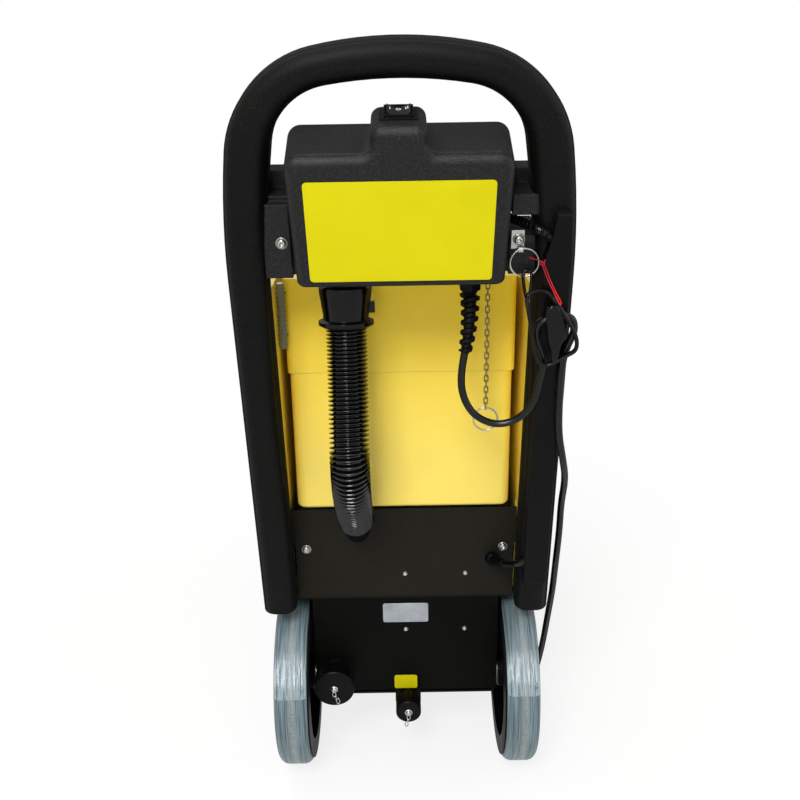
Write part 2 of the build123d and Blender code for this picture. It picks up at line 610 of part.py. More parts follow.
def make_hose():
    """Ribbed suction hose with its cuff and the barbed port slanting out of the panel."""
    start = HOSE_TOP + HOSE_AXIS.z_dir * 42
    path = FilletPolyline(start, at(HOSE_X, -135, 481), at(HOSE_X, -58, 404), radius=150)
    count = round(path.length / HOSE_PITCH)
    hose = ribbed(path, count, HOSE_R - 2.2, HOSE_R) - bore_along(path, HOSE_BORE)
    print(f"hose: {path.length:.0f} long, {count} ribs, volume {hose.volume:.0f}")
    inner = HOSE_R + 0.3
    profile = ((20.0, 24), (28.0, 24), (29.5, 26), (29.5, 31), (inner + 2, 58), (inner + 2, 62), (31, 64))
    profile += ((31, 68), (inner + 2.5, 71), (inner, 71), (inner, 42), (20.0, 42))
    cuff = turned(HOSE_AXIS, profile)
    cuff += HOSE_AXIS * Pos(29, 0, 49) * Box(7, 10, 12)
    port = PORT_AXIS * Pos(0, 0, 46) * Cylinder(16.8, 92)
    port += PORT_AXIS * Pos(0, 0, 80) * Cylinder(17.8, 20)
    port += block(-97, -27, -30, -28, 342, DECK_TOP - 4)
    port -= PORT_AXIS * Pos(0, 0, 40) * Cylinder(15, 120)
    return hose, cuff, port


def make_gland():
    """Cable gland under the box with its spiral strain relief."""
    top = lean_at(76.7, BOX_LOW_U, -4)
    low = lean_at(76.7, 453, -4)
    axis = Plane(origin=top, x_dir=(1, 0, 0), z_dir=low - top)
    body = axis * Pos(0, 0, 3) * Cylinder(7, 20)
    body += axis * Pos(0, 0, 4) * Cylinder(11, 8)
    hexagon = axis.offset(8) * RegularPolygon(13, 6)
    body += extrude(hexagon, amount=22, dir=axis.z_dir)
    body += axis * Pos(0, 0, 32) * Cone(11, 8, 4)
    path = FilletPolyline(low, at(77.5, -124, 684), at(70.3, -129, 650), radius=80)
    body += ribbed(path, 6, 8.2, 11.5, taper=0.66)
    body -= bore_along(path, LEAD_R)
    body -= axis * Pos(0, 0, 18) * Cylinder(LEAD_R, 60)
    return body


def lead_route():
    """Points of the mains lead from the strain relief to the coil."""
    points = [at(70.3, -129, 650), at(65.5, -131, 625), at(68, -134, 598), at(82, -137, 575)]
    points += [at(108, -140, 565), at(133, -141.5, 574), at(148, -142.5, 594)]
    hooked = [(153.5, 368), (157, 388), (153, 404), (146, 420), (145.5, 436), (158, 443.5), (170, 446.5)]
    hooked += [(184.5, 444), (188, 428), (181.5, 411), (177.5, 394), (176.6, 368), (177, 345)]
    points += [lean_at(x, u, 43.2) for x, u in hooked]
    points += [lean_at(179, 298, 43.4), lean_at(186.5, 262, 43.2), lean_at(194.2, 226, 32)]
    points.append(at(195.0, -85, 436))
    points += [at(195.4, -82, 396), at(195, -70, 345), at(195.4, -54, 290), at(195, -30, 234)]
    points += [at(195.4, -6, 182), at(195.6, 22, 130), at(196, 54, 82), at(196.6, 92, 38)]
    points += [at(197.5, 138, 10), at(200, 186, 4.4), at(204, 230, 4.4), at(211, 280, 4.4)]
    points.append(at(217, 336, 4.4))
    points += [at(220, 398, 4.4), at(219, 462, 4.4), at(212, 520, 4.4), at(197, 558, 4.4)]
    points += [at(176, 588, 4.6), at(156, 612, 5.2), at(148, 632, COIL_FLOOR), at(148, 654.6, COIL_FLOOR)]
    return points


def climb(start, end, tangent):
    """Two equal tangent arcs over half a turn that rise by one layer."""
    reach = (end - start).length / 2
    joint = (start + end) / 2 + tangent * reach
    second = (end + tangent * reach) - (start + tangent * reach)
    return [TangentArc(start, joint, tangent=tangent), TangentArc(joint, end, tangent=second)]


def make_coil():
    """Four layers of loops, spiralling in and out, as one unbroken tube."""
    cx, cy = COIL_CENTRE
    step = COIL_PITCH / 2
    place = at(cx + COIL_OUTER, cy, COIL_FLOOR)
    edges = [Line(place - Vector(0, 2 * LEAD_R, 0), place)]
    radius = COIL_OUTER
    change = -step
    for layer in range(4):
        for turn in range(COIL_HALF_TURNS):
            side = 1 if turn % 2 == 0 else -1
            centre = place - Vector(side * radius, 0, 0)
            far = centre - Vector(side * radius, 0, 0)
            edges.append(ThreePointArc(place, centre + Vector(0, side * radius, 0), far))
            place = far
            radius += change
        if layer < 3:
            end = place + Vector(2 * radius, 0, COIL_LAYER)
            edges.extend(climb(place, end, Vector(0, -1, 0)))
            place = end
            change = -change
            radius += change
    edges.append(Line(place, place - Vector(0, 2 * LEAD_R, 0)))
    path = Wire(edges)
    tube = sweep(Plane(origin=path @ 0, z_dir=path % 0) * Circle(LEAD_R), path=path)
    wanted = math.pi * LEAD_R**2 * path.length
    print(f"mains_coil: {path.length:.0f} long, volume ratio {tube.volume / wanted:.4f}")
    print(f"mains_coil: gap to itself {self_gap(path):.2f}")
    return tube, place - Vector(0, 2 * LEAD_R, 0)


def self_gap(path):
    """Least gap between stretches of a coil more than half a turn apart along it."""
    count = 1500
    spots = [path @ (index / count) for index in range(count + 1)]
    apart = int(180 / (path.length / count))
    least = 1e9
    for first in range(0, count + 1):
        for second in range(first + apart, count + 1):
            distance = (spots[first] - spots[second]).length
            least = min(least, distance)
    return least - 2 * LEAD_R


def make_plug(coil_end):
    """Short tail from the coil, the plug on the floor and the tie round the coil."""
    x, y = coil_end.X, coil_end.Y - AXLE_Y
    z = coil_end.Z
    points = [coil_end, at(x, y - 20, z), at(x - 8, y - 42, z - 3), at(x - 27, y - 60, z - 9)]
    points += [at(x - 52, y - 69, 17.6), at(x - 76, y - 71, 17.6)]
    tail = cord("tail", points, LEAD_R)
    heading = points[-1] - points[-2]
    flat = Vector(heading.X, heading.Y, 0)
    axis = Plane(origin=points[-1], x_dir=(0, 0, 1), z_dir=flat)
    plug = axis * Pos(0, 0, 11) * Cone(6.5, 9, 22)
    plug += axis * Pos(0, 0, 24) * Cone(9, 17, 6)
    plug += axis * Pos(0, 0, 36) * Cylinder(17, 18)
    for offset in (-9.5, 9.5):
        plug += axis * Pos(0, offset, 54.5) * Cylinder(2.4, 19)
    cx, cy = COIL_CENTRE
    inner = block(cx - 20, cx + 20, cy + 42.6, cy + 93.0, 1.3, 38)
    tie = block(cx - 7, cx + 3, cy + 41.4, cy + 94.2, 0.1, 39.2) - inner
    return tail, plug, tie


def make_harness():
    """Wiring harness from the box through the duct to the panel boot, and the duct."""
    points = [lean_at(113, 540, -6), lean_at(124, 540, 0), lean_at(133, 540, 18), lean_at(144, 539, 31)]
    points += [lean_at(158, 532, 31.3), lean_at(167, 512, 31.3), lean_at(167.6, 430, 31.3)]
    points += [lean_at(166.6, 330, 31.3), lean_at(167.8, 230, 31.3), lean_at(166.8, 164, 31.3)]
    points += [lean_at(167.5, 126, 31.3), lean_at(158, 104, 31.3), lean_at(145, 93, 30.5)]
    points += [at(133, -70, 341), at(124, -54, 333), at(116, -36, 329)]
    cable = cord("harness", points, 4.2)
    cable += rod_y(116, -46, -32, 329, 7) + rod_y(116, -36, -32, 329, 9.5)
    return cable


def make_duct(handle):
    outline = ((150, 66), (181, 66), (181, 506), (178, 558), (161, 558), (157, 531), (150, 506))
    duct = lean_prism(outline, 8, 38)
    duct = fillet([e for e in duct.edges() if abs(HANDLE.to_local_coords(e.center()).Z - 38) < 0.01], 3)
    duct -= handle
    duct -= lean_block(158, 178, 60, 524, 25, 36)
    duct -= lean_prism(((158, 500), (178, 500), (172, 528), (164, 546), (140, 556), (140, 520)), 25, 36)
    duct -= lean_block(140, 170, 78, 122, 20, 36)
    return duct


def make_hook():
    """Cord hook on the right, hung from a steel tab by a split ring."""
    outline = ((129, 476), (134, 482), (149, 484), (163, 473), (191, 425), (192, 408), (158, 387), (147, 392))
    outline += ((136, 433),)
    window = ((136, 470), (146, 476), (156, 470), (184, 424), (184, 413), (158, 396), (152, 399), (142, 433))
    w0, w1 = 48.6, 55.6
    hook = lean_prism(outline, w0, w1)
    hook -= lean_prism(window, w0 - 1, w1 + 1)
    tongue = ((155, 450), (156, 460), (164, 462), (169, 456), (178, 427), (172, 419), (172, 396))
    tongue += ((163, 392), (162, 417), (157, 419))
    hook += lean_prism(tongue, w0, w1)
    hook += rod_between(lean_at(133, 474, 52), lean_at(134, 478, 25), 3.0)
    hook += rod_between(lean_at(129.2, 484.2, 23), lean_at(136.2, 484.2, 23), 5.0)
    hook -= rod_between(lean_at(125, 484.2, 23), lean_at(140, 484.2, 23), 2.4)
    tab = lean_block(117.6, 131.3, 513.5, 534, 16, 18)
    tab += rod_between(lean_at(125, 513.5, 21), lean_at(130, 513.5, 21), 3.6)
    tab -= rod_between(lean_at(120, 513.5, 21), lean_at(135, 513.5, 21), 2.3)
    tab -= rod_between(lean_at(125.5, 524, 10), lean_at(125.5, 524, 30), 3.0)
    centre = lean_at(132.2, 499.3, 22.3)
    tilt = math.radians(5.4)
    normal = HANDLE.z_dir * math.cos(tilt) + HANDLE.y_dir * math.sin(tilt)
    ring = Plane(origin=centre, x_dir=(1, 0, 0), z_dir=normal) * Torus(15.4, 1.1)
    return hook, Compound([tab, ring])


def make_chain():
    """Chain of interlocked links hanging from the eye under the box, and its end ring."""
    wire, long, wide, step = 0.8, 8.8, 4.2, 7.0
    top = 741.7
    links = []
    for index in range(25):
        middle = top - long / 2 - step * index
        flat = index % 2 == 0
        plane = Plane(
            origin=at(98.5, -90, middle),
            x_dir=(0, 0, 1),
            z_dir=(1, 0, 0) if flat else (0, 1, 0),
        )
        path = plane * SlotOverall(long, wide).wire()
        links.append(sweep(Plane(origin=path @ 0, z_dir=path % 0) * Circle(wire), path=path))
    low = top - long - step * 24
    ring_plane = Plane(origin=at(98.5, -90, low + 2.1 - 14.3), x_dir=(1, 0, 0), z_dir=(0, 1, 0))
    return Compound(links), ring_plane * Torus(14.3, 1.1)


def make_labels():
    outline = ((95.8, 602.5), (-95.8, 602.5), (-93.5, 497.5), (93.5, 497.5))
    label = lean_prism(outline, BOX_FRONT_W, BOX_FRONT_W + 0.6)
    label = fillet(label.edges().filter_by(Axis(HANDLE.origin, HANDLE.z_dir)), 4)
    drain = block(-17, 15, -28.6, -28, 114.8, 137)
    drain = fillet(drain.edges().filter_by(Axis.Y), 3)
    plate = block(-31, 31, -29, -28, 226, 256)
    plate = fillet(plate.edges().filter_by(Axis.Y), 3)
    return Compound([label, drain]), plate


def make_sight_tube(tank):
    """Ribbed level tube beside the recovery tank with two stubs up to the tank's wall."""
    axis = Plane(origin=at(-143.4, -36, 0), x_dir=(1, 0, 0), z_dir=(0, 0, 1))
    profile = [(0, 709), (0, 628), (4.7, 628)]
    for step in range(13):
        z = 632 + 5.8 * step
        profile += [(4.7, z), (5.4, z + 0.6), (5.4, z + 2.0), (4.7, z + 2.6)]
    profile.append((4.7, 709))
    tube = turned(axis, profile)
    for z in (643, 695):
        tube += rod_y(-139.5, -36, TANK_REAR + 3, z, 2.0) - tank
    return tube


def make_filler_cap():
    cap = rod_z(FILLER_X, FILLER_Y, 714, 740, NECK_R + 5.5)
    cap -= rod_z(FILLER_X, FILLER_Y, 700, 733, NECK_R + 0.4)
    return fillet(cap.edges().filter_by(GeomType.CIRCLE).sort_by(Axis.Z)[-1], 4)


def build_nodes():
    nodes = {}
    handle = make_handle()
    nodes["handle_frame"] = handle
    nodes["control_box_base"], nodes["control_box_cover"] = make_box(handle)
    nodes["switch_body"], nodes["switch_rocker"] = make_switch()
    nodes["yellow_labels"], nodes["rating_plate"] = make_labels()
    nodes["body_shell"] = make_shell()
    nodes["solution_tank"], nodes["recovery_tank"] = make_tanks()
    nodes["tank_lid"], nodes["lid_gasket"] = make_lid()
    nodes["filler_neck"], nodes["filler_cap"] = make_filler_neck(), make_filler_cap()
    nodes["sight_tube"] = make_sight_tube(nodes["recovery_tank"])
    nodes["chassis_tray"], nodes["tank_deck"] = make_tray()
    nodes["rear_panel"] = make_panel()
    nodes["screws"] = make_screws()
    drains = make_drains()
    nodes["large_drain_spout"], nodes["large_drain_cap"] = drains[0], drains[1]
    nodes["small_drain_spout"], nodes["small_drain_cap"] = drains[2], drains[3]
    nodes["tyre_left"], nodes["rim_left"] = make_wheel(-1)
    nodes["tyre_right"], nodes["rim_right"] = make_wheel(1)
    nodes["axle"], nodes["axle_hardware"] = make_axle()
    nodes["vac_housing"], nodes["vac_fan"], nodes["float_ring"] = make_vacuum()
    nodes["solution_pump"] = make_pump()
    drive = make_brush_drive()
    nodes["brush_motor"], nodes["motor_pulley"] = drive[0], drive[1]
    nodes["drive_belt"], nodes["belt_guard"] = drive[2], drive[3]
    nodes["brush_roller"], nodes["brush_bristles"], nodes["brush_bearings"] = make_brush()
    front = make_front()
    nodes["brush_housing"], nodes["front_hood"], nodes["spray_bar"] = front[0], front[1], front[2]
    nodes["suction_shoe"], nodes["suction_pipe"] = front[3], front[4]
    nodes["suction_hose"], nodes["hose_cuff"], nodes["hose_port"] = make_hose()
    nodes["cable_gland"] = make_gland()
    nodes["harness_cable"] = make_harness()
    nodes["cable_duct"] = make_duct(handle)
    nodes["cord_hook"], nodes["hook_ring"] = make_hook()
    nodes["hang_chain"], nodes["chain_ring"] = make_chain()
    nodes["mains_lead"] = cord("mains_lead", lead_route(), LEAD_R)
    nodes["mains_coil"], coil_end = make_coil()
    nodes["mains_tail"], nodes["mains_plug"], nodes["coil_tie"] = make_plug(coil_end)
    return nodes


for name, shape in build_nodes().items():
    export_step(shape, f"parts/{name}.step")
    solids = len(shape.solids())
    size = shape.bounding_box()
    print(f"{name}: {solids} solids, {size.min.X:.1f} {size.min.Y:.1f} {size.min.Z:.1f}"
          f" to {size.max.X:.1f} {size.max.Y:.1f} {size.max.Z:.1f}, valid {shape.is_valid}")
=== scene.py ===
import logging
import math
from dataclasses import dataclass
from enum import Enum
from typing import ClassVar, Sequence

import bmesh
import bpy
import numpy as np
from mathutils import Matrix, Vector


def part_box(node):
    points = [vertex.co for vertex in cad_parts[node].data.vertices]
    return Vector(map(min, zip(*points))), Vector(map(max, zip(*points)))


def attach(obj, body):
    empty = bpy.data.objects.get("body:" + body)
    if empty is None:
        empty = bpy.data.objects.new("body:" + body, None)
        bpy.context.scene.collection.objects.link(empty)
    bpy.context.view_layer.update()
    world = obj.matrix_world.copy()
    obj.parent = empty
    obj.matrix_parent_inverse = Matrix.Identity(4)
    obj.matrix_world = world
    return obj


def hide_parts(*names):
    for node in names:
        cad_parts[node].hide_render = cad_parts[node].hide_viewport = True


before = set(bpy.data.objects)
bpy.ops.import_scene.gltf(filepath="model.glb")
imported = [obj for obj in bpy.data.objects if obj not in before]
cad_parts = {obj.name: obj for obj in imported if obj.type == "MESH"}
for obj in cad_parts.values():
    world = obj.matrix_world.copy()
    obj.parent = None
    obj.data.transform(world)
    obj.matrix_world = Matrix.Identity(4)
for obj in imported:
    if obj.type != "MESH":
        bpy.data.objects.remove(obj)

LOG = logging.getLogger("carpet_machine")
Array = np.ndarray
Pair = tuple[float, float]
Point = tuple[float, float, float]
Rgb = Point
Socket = bpy.types.NodeSocket
Node = bpy.types.Node
Material = bpy.types.Material
Piece = bpy.types.Object

# Places are written in millimetres, X right, Y forward from the axle, Z up, and turned to metres once.
MM = 0.001
AXLE_Y = -167.6
AXLE_Z = 125.0
LEAN = math.radians(8.6)
LEAN_FOOT = (0.0, -45.0, 264.0)


class Body(str, Enum):
    """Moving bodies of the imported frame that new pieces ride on."""

    MACHINE = "machine"
    WHEEL_LEFT = "wheel_left"
    WHEEL_RIGHT = "wheel_right"
    BRUSH = "brush"
    ROCKER = "rocker"
    LARGE_CAP = "large_cap"
    SMALL_CAP = "small_cap"


def axle_at(points: Sequence[Sequence[float]] | Array) -> Array:
    """Points in metres of the shared frame.

    Args:
        points: Rows of x, y and z in millimetres, y counted from the axle.
    Returns:
        The same rows in metres.
    """
    rows = np.asarray(points, float)
    return (rows + np.array((0.0, AXLE_Y, 0.0))) * MM


def lean_at(points: Sequence[Sequence[float]] | Array) -> Array:
    """Points in metres from the leaning handle's frame.

    Args:
        points: Rows of x across, u up the lean and w behind it, in millimetres.
    Returns:
        The rows in metres of the shared frame: foot + x, u and w times their directions.
    """
    rows = np.asarray(points, float)
    across, up, behind = rows[..., 0], rows[..., 1], rows[..., 2]
    y = LEAN_FOOT[1] - up * math.sin(LEAN) - behind * math.cos(LEAN)
    z = LEAN_FOOT[2] + up * math.cos(LEAN) - behind * math.sin(LEAN)
    return axle_at(np.stack((across, y, z), axis=-1))


def lean_behind() -> Array:
    """Direction straight behind the leaning handle."""
    return lean_at((0.0, 0.0, 1.0)) - lean_at((0.0, 0.0, 0.0))


def linear(colour: Rgb, times: float = 1.0, plus: float = 0.0) -> tuple[float, float, float, float]:
    """Scene-linear colour from screen values of 0 to 255.

    Args:
        colour: Red, green and blue as a screen shows them.
        times: Factor on the screen values.
        plus: Added to the screen values after that.
    Returns:
        Linear red, green, blue and an alpha of one.
    """
    share = np.minimum(np.asarray(colour, float) * times + plus, 255.0) / 255.0
    value = np.where(share <= 0.04045, share / 12.92, ((share + 0.055) / 1.055) ** 2.4)
    return (*value.tolist(), 1.0)


class NodeSheet:
    """Node tree of one finish or of the surroundings, with short calls for the nodes that they share."""

    def __init__(self, name: str, world: bool = False) -> None:
        """Starts an empty material, or world.

        Args:
            name: Name of the material or world.
            world: Whether the surroundings are meant.
        """
        self.owner = (bpy.data.worlds if world else bpy.data.materials).new(name)
        self.owner.use_nodes = True
        self.tree = self.owner.node_tree
        self.tree.nodes.clear()
        self.output = self.add("ShaderNodeOutputWorld" if world else "ShaderNodeOutputMaterial")

    def add(self, kind: str, inputs: dict[str | int, object] | None = None, **settings: object) -> Node:
        """One node.

        Args:
            kind: Blender's name of the node type.
            inputs: Sockets by name or number, with a value or a socket to link.
            settings: The node's own properties.
        Returns:
            The node.
        """
        node = self.tree.nodes.new(kind)
        for key, value in settings.items():
            setattr(node, key, value)
        for key, value in (inputs or {}).items():
            if isinstance(value, Socket):
                self.tree.links.new(value, node.inputs[key])
            else:
                node.inputs[key].default_value = value
        return node

    def place(self, centre: Sequence[float] = (0, 0, 0), stretch: Sequence[float] = (1, 1, 1)) -> Socket:
        """Object coordinates in metres, counted from a centre and stretched."""
        coords = self.add("ShaderNodeTexCoord").outputs["Object"]
        return self.vector("MULTIPLY", self.vector("SUBTRACT", coords, tuple(centre)), tuple(stretch))

    def vector(self, operation: str, first: Socket, second: object = (0, 0, 0), out: int | str = 0) -> Socket:
        """One operation on two vectors, read at that output."""
        return self.add("ShaderNodeVectorMath", {0: first, 1: second}, operation=operation).outputs[out]

    def noise(self, vector: Socket, scale: float, detail: float = 3.0, rough: float = 0.55) -> Socket:
        """Noise of 0 to 1 at that many features to the metre."""
        inputs = {"Vector": vector, "Scale": scale, "Detail": detail, "Roughness": rough}
        return self.add("ShaderNodeTexNoise", inputs).outputs[0]

    def span(self, value: Socket, low: float, high: float, start: float = 0.0, end: float = 1.0) -> Socket:
        """Value mapped from low..high to start..end and held there."""
        inputs = {"Value": value, "From Min": low, "From Max": high, "To Min": start, "To Max": end}
        return self.add("ShaderNodeMapRange", inputs, clamp=True).outputs["Result"]

    def vary(self, noise: Socket, start: float, end: float) -> Socket:
        """Middle range of a noise mapped to start..end."""
        return self.span(noise, 0.3, 0.7, start, end)

    def maths(self, operation: str, first: Socket | float, second: Socket | float = 0.0) -> Socket:
        """One operation on two numbers."""
        return self.add("ShaderNodeMath", {0: first, 1: second}, operation=operation).outputs[0]

    def times(self, first: Socket, second: Socket | float) -> Socket:
        """Product of two numbers."""
        return self.maths("MULTIPLY", first, second)

    def laid_round(self, x: Socket, turn: Socket, across: float, along: float) -> Socket:
        """Place on a wheel's tread, unrolled: width and turn, each with its own stretch."""
        parts = {0: self.times(x, across), 1: self.times(turn, along)}
        return self.add("ShaderNodeCombineXYZ", parts).outputs[0]

    def mix(self, share: Socket, first: object, second: object) -> Socket:
        """Colour between two colours."""
        return self.add("ShaderNodeMix", {0: share, 6: first, 7: second}, data_type="RGBA").outputs[2]

    def axes(self, vector: Socket) -> tuple[Socket, Socket, Socket]:
        """The three parts of a vector."""
        parts = self.add("ShaderNodeSeparateXYZ", {0: vector}).outputs
        return parts[0], parts[1], parts[2]

    def soft_edge(self, radius: float) -> tuple[Socket, Socket]:
        """Normal rounded over edges, and how near an edge the surface is.

        Args:
            radius: Reach of the rounding in metres.
        Returns:
            The rounded normal, and a share that is 1 on a sharp edge.
        """
        rounded = self.add("ShaderNodeBevel", {"Radius": radius}, samples=4).outputs[0]
        flat = self.add("ShaderNodeNewGeometry").outputs["Normal"]
        turn = self.vector("DOT_PRODUCT", rounded, flat, "Value")
        return rounded, self.span(turn, 0.98, 0.80)

    def bump(self, height: Socket, depth: float, normal: Socket | None = None) -> Socket:
        """Normal of a relief.

        Args:
            height: Relief of 0 to 1.
            depth: Depth of the relief in metres.
            normal: Normal that it starts from, where that isn't the surface's own.
        Returns:
            The normal.
        """
        inputs: dict[str | int, object] = {"Height": height, "Distance": depth, "Strength": 1.0}
        if normal is not None:
            inputs["Normal"] = normal
        return self.add("ShaderNodeBump", inputs).outputs[0]

    def shade(self, colour: object, rough: Socket, normal: Socket, specular: float = 0.5,
              metallic: Socket | float = 0.0, alpha: Socket | float = 1.0) -> Material:
        """Ends the tree in one surface shader.

        Args:
            colour: Base colour.
            rough: Roughness.
            normal: Normal with its relief.
            specular: Strength of the gloss that isn't metal.
            metallic: 1 where it is metal.
            alpha: 1 where it hides what is behind.
        Returns:
            The material.
        """
        self.end(self.add("ShaderNodeBsdfPrincipled", {
            "Base Color": colour, "Roughness": rough, "Normal": normal, "Specular IOR Level": specular,
            "Metallic": metallic, "Alpha": alpha,
        }))
        return self.owner

    def end(self, shader: Node) -> None:
        """Links the last shader to the output."""
        self.tree.links.new(shader.outputs[0], self.output.inputs[0])

    def seen(self) -> Socket:
        """Which rays meet a thing as it looks, and not as a light.

        Returns:
            Share that is 1 for rays from the camera, mirrors and glass.
        """
        path = self.add("ShaderNodeLightPath").outputs
        shown = self.maths("MAXIMUM", path["Is Camera Ray"], path["Is Glossy Ray"])
        return self.maths("MAXIMUM", shown, path["Is Transmission Ray"])

    def blend(self, share: Socket, first: Node, second: Node) -> Node:
        """Shader between two shaders."""
        return self.add("ShaderNodeMixShader", {0: share, 1: first.outputs[0], 2: second.outputs[0]})


@dataclass(frozen=True)
class Moulding:
    """Plastic or rubber: grain, cloudy colour, gloss that varies, edges rubbed lighter and painted glints on
    the grain.

    An upper colour, where there is one, takes over between two heights, and the paler colour under them is a
    painted sheen.
    """

    name: str
    colour: Rgb
    roughness: float = 0.5
    grain: float = 0.0012
    relief: float = 0.00006
    cloud: float = 0.12
    rubbed: float = 0.25
    edge: float = 0.0012
    specular: float = 0.5
    painted_glint: float = 0.0
    edge_on: float = 0.0
    upper: Rgb | None = None
    sheen_fade: Pair = (0.46, 0.69)
    clouds: float = 14.0
    rubs: float = 60.0

    # Lift of the painted glints on the grain bumps.
    GLINT_LIFT: ClassVar[float] = 105.0

    def build(self) -> Material:
        """Grain, clouds, rubbed edges and gloss.

        Returns:
            The material.
        """
        sheet = NodeSheet(self.name)
        place = sheet.place()
        grain = sheet.noise(place, 1.0 / self.grain, 2.0, 0.6)
        cloud = sheet.noise(place, self.clouds, 4.0)
        normal, near_edge = sheet.soft_edge(self.edge)
        deep, light = linear(self.colour, 1 - self.cloud), linear(self.colour, 1 + self.cloud)
        worn = linear(self.colour, 1 - self.rubbed, 255 * self.rubbed)
        colour = sheet.mix(sheet.span(cloud, 0.35, 0.65), deep, light)
        # Painted sheen: the paler colour under these heights stands in for light falling on the tanks' low
        # part.
        if self.upper is not None:
            _, _, height = sheet.axes(place)
            colour = sheet.mix(sheet.span(height, *self.sheen_fade), colour, linear(self.upper))
        patchy = sheet.times(near_edge, sheet.span(sheet.noise(place, self.rubs), 0.45, 0.65, 0.0, 0.6))
        colour = sheet.mix(patchy, colour, worn)
        # Painted glints: grain bumps lifted to a paler colour, standing in for lamp sparkle on the grain.
        bright = linear(self.colour, plus=self.GLINT_LIFT)
        colour = sheet.mix(sheet.span(grain, 0.56, 0.74, 0.0, self.painted_glint), colour, bright)
        gloss = sheet.vary(cloud, self.roughness * 0.88, self.roughness * 1.12)
        turned_away = sheet.add("ShaderNodeLayerWeight", {"Blend": 0.5}).outputs["Facing"]
        gloss = sheet.maths("MAXIMUM", gloss, sheet.span(turned_away, 0.35, 0.68, 0.0, self.edge_on))
        return sheet.shade(colour, gloss, sheet.bump(grain, self.relief, normal), self.specular)


@dataclass(frozen=True)
class PanelSheet:
    """Painted rear panel with painted light and shade: warmer and paler over its joggle, near black under it,
    with dust and fine scuffs.
    """

    name: str
    # Paler upper colour is painted light; the near-black colour under the joggle is painted shade.
    upper: Rgb = (31, 30, 24)
    shaded_lower: Rgb = (4, 4, 3)
    dust: Rgb = (92, 88, 76)
    scuffed: Rgb = (120, 118, 112)
    joggle: float = 0.268
    clouds: float = 9.0
    specks: float = 900.0
    scuffs: float = 420.0
    relief: float = 0.00005
    specular: float = 0.06

    def build(self) -> Material:
        """Painted light over the joggle and painted shade under it, with dust and scuffs on top.

        Returns:
            The material.
        """
        sheet = NodeSheet(self.name)
        place = sheet.place()
        _, _, height = sheet.axes(place)
        lit_above = sheet.span(height, self.joggle - 0.002, self.joggle + 0.004)
        cloud = sheet.noise(place, self.clouds, 5.0, 0.6)
        speck = sheet.noise(place, self.specks, 2.0, 0.7)
        scuff = sheet.noise(sheet.place(stretch=(1.0, 1.0, 0.06)), self.scuffs, 4.0, 0.75)
        # Painted light and shade: paler over the joggle, near black under it.
        lit_and_shaded = sheet.mix(lit_above, linear(self.shaded_lower), linear(self.upper))
        lit_and_shaded = sheet.mix(sheet.span(cloud, 0.4, 0.75, 0.0, 0.35), lit_and_shaded, linear(self.upper, 0.6))
        dusty = sheet.times(sheet.span(speck, 0.62, 0.75), sheet.span(lit_above, 0.0, 1.0, 0.05, 0.25))
        colour = sheet.mix(dusty, lit_and_shaded, linear(self.dust))
        colour = sheet.mix(sheet.span(scuff, 0.72, 0.8, 0.0, 0.12), colour, linear(self.scuffed))
        normal, _ = sheet.soft_edge(0.001)
        gloss = sheet.vary(cloud, 0.42, 0.58)
        return sheet.shade(colour, gloss, sheet.bump(speck, self.relief, normal), self.specular)


@dataclass(frozen=True)
class Metal:
    """Plated or cast metal with fine scratches, dull patches and bright edges."""

    name: str
    colour: Rgb
    roughness: float = 0.28
    stretch: Point = (1.0, 1.0, 1.0)
    scratch: float = 900.0
    relief: float = 0.00002
    patches: float = 45.0

    BRIGHT: ClassVar[tuple] = (0.9, 0.9, 0.88, 1.0)

    def build(self) -> Material:
        """Dull patches, bright edges and scratches.

        Returns:
            The material.
        """
        sheet = NodeSheet(self.name)
        fine = sheet.noise(sheet.place(stretch=self.stretch), self.scratch, 3.0, 0.7)
        patch = sheet.noise(sheet.place(), self.patches, 4.0, 0.6)
        normal, near_edge = sheet.soft_edge(0.0006)
        dull = linear(self.colour, 0.88)
        colour = sheet.mix(sheet.span(patch, 0.35, 0.7), dull, linear(self.colour))
        colour = sheet.mix(sheet.times(near_edge, 0.5), colour, self.BRIGHT)
        gloss = sheet.span(fine, 0.3, 0.75, self.roughness * 0.7, self.roughness * 1.5)
        return sheet.shade(colour, gloss, sheet.bump(fine, self.relief, normal), metallic=1.0)


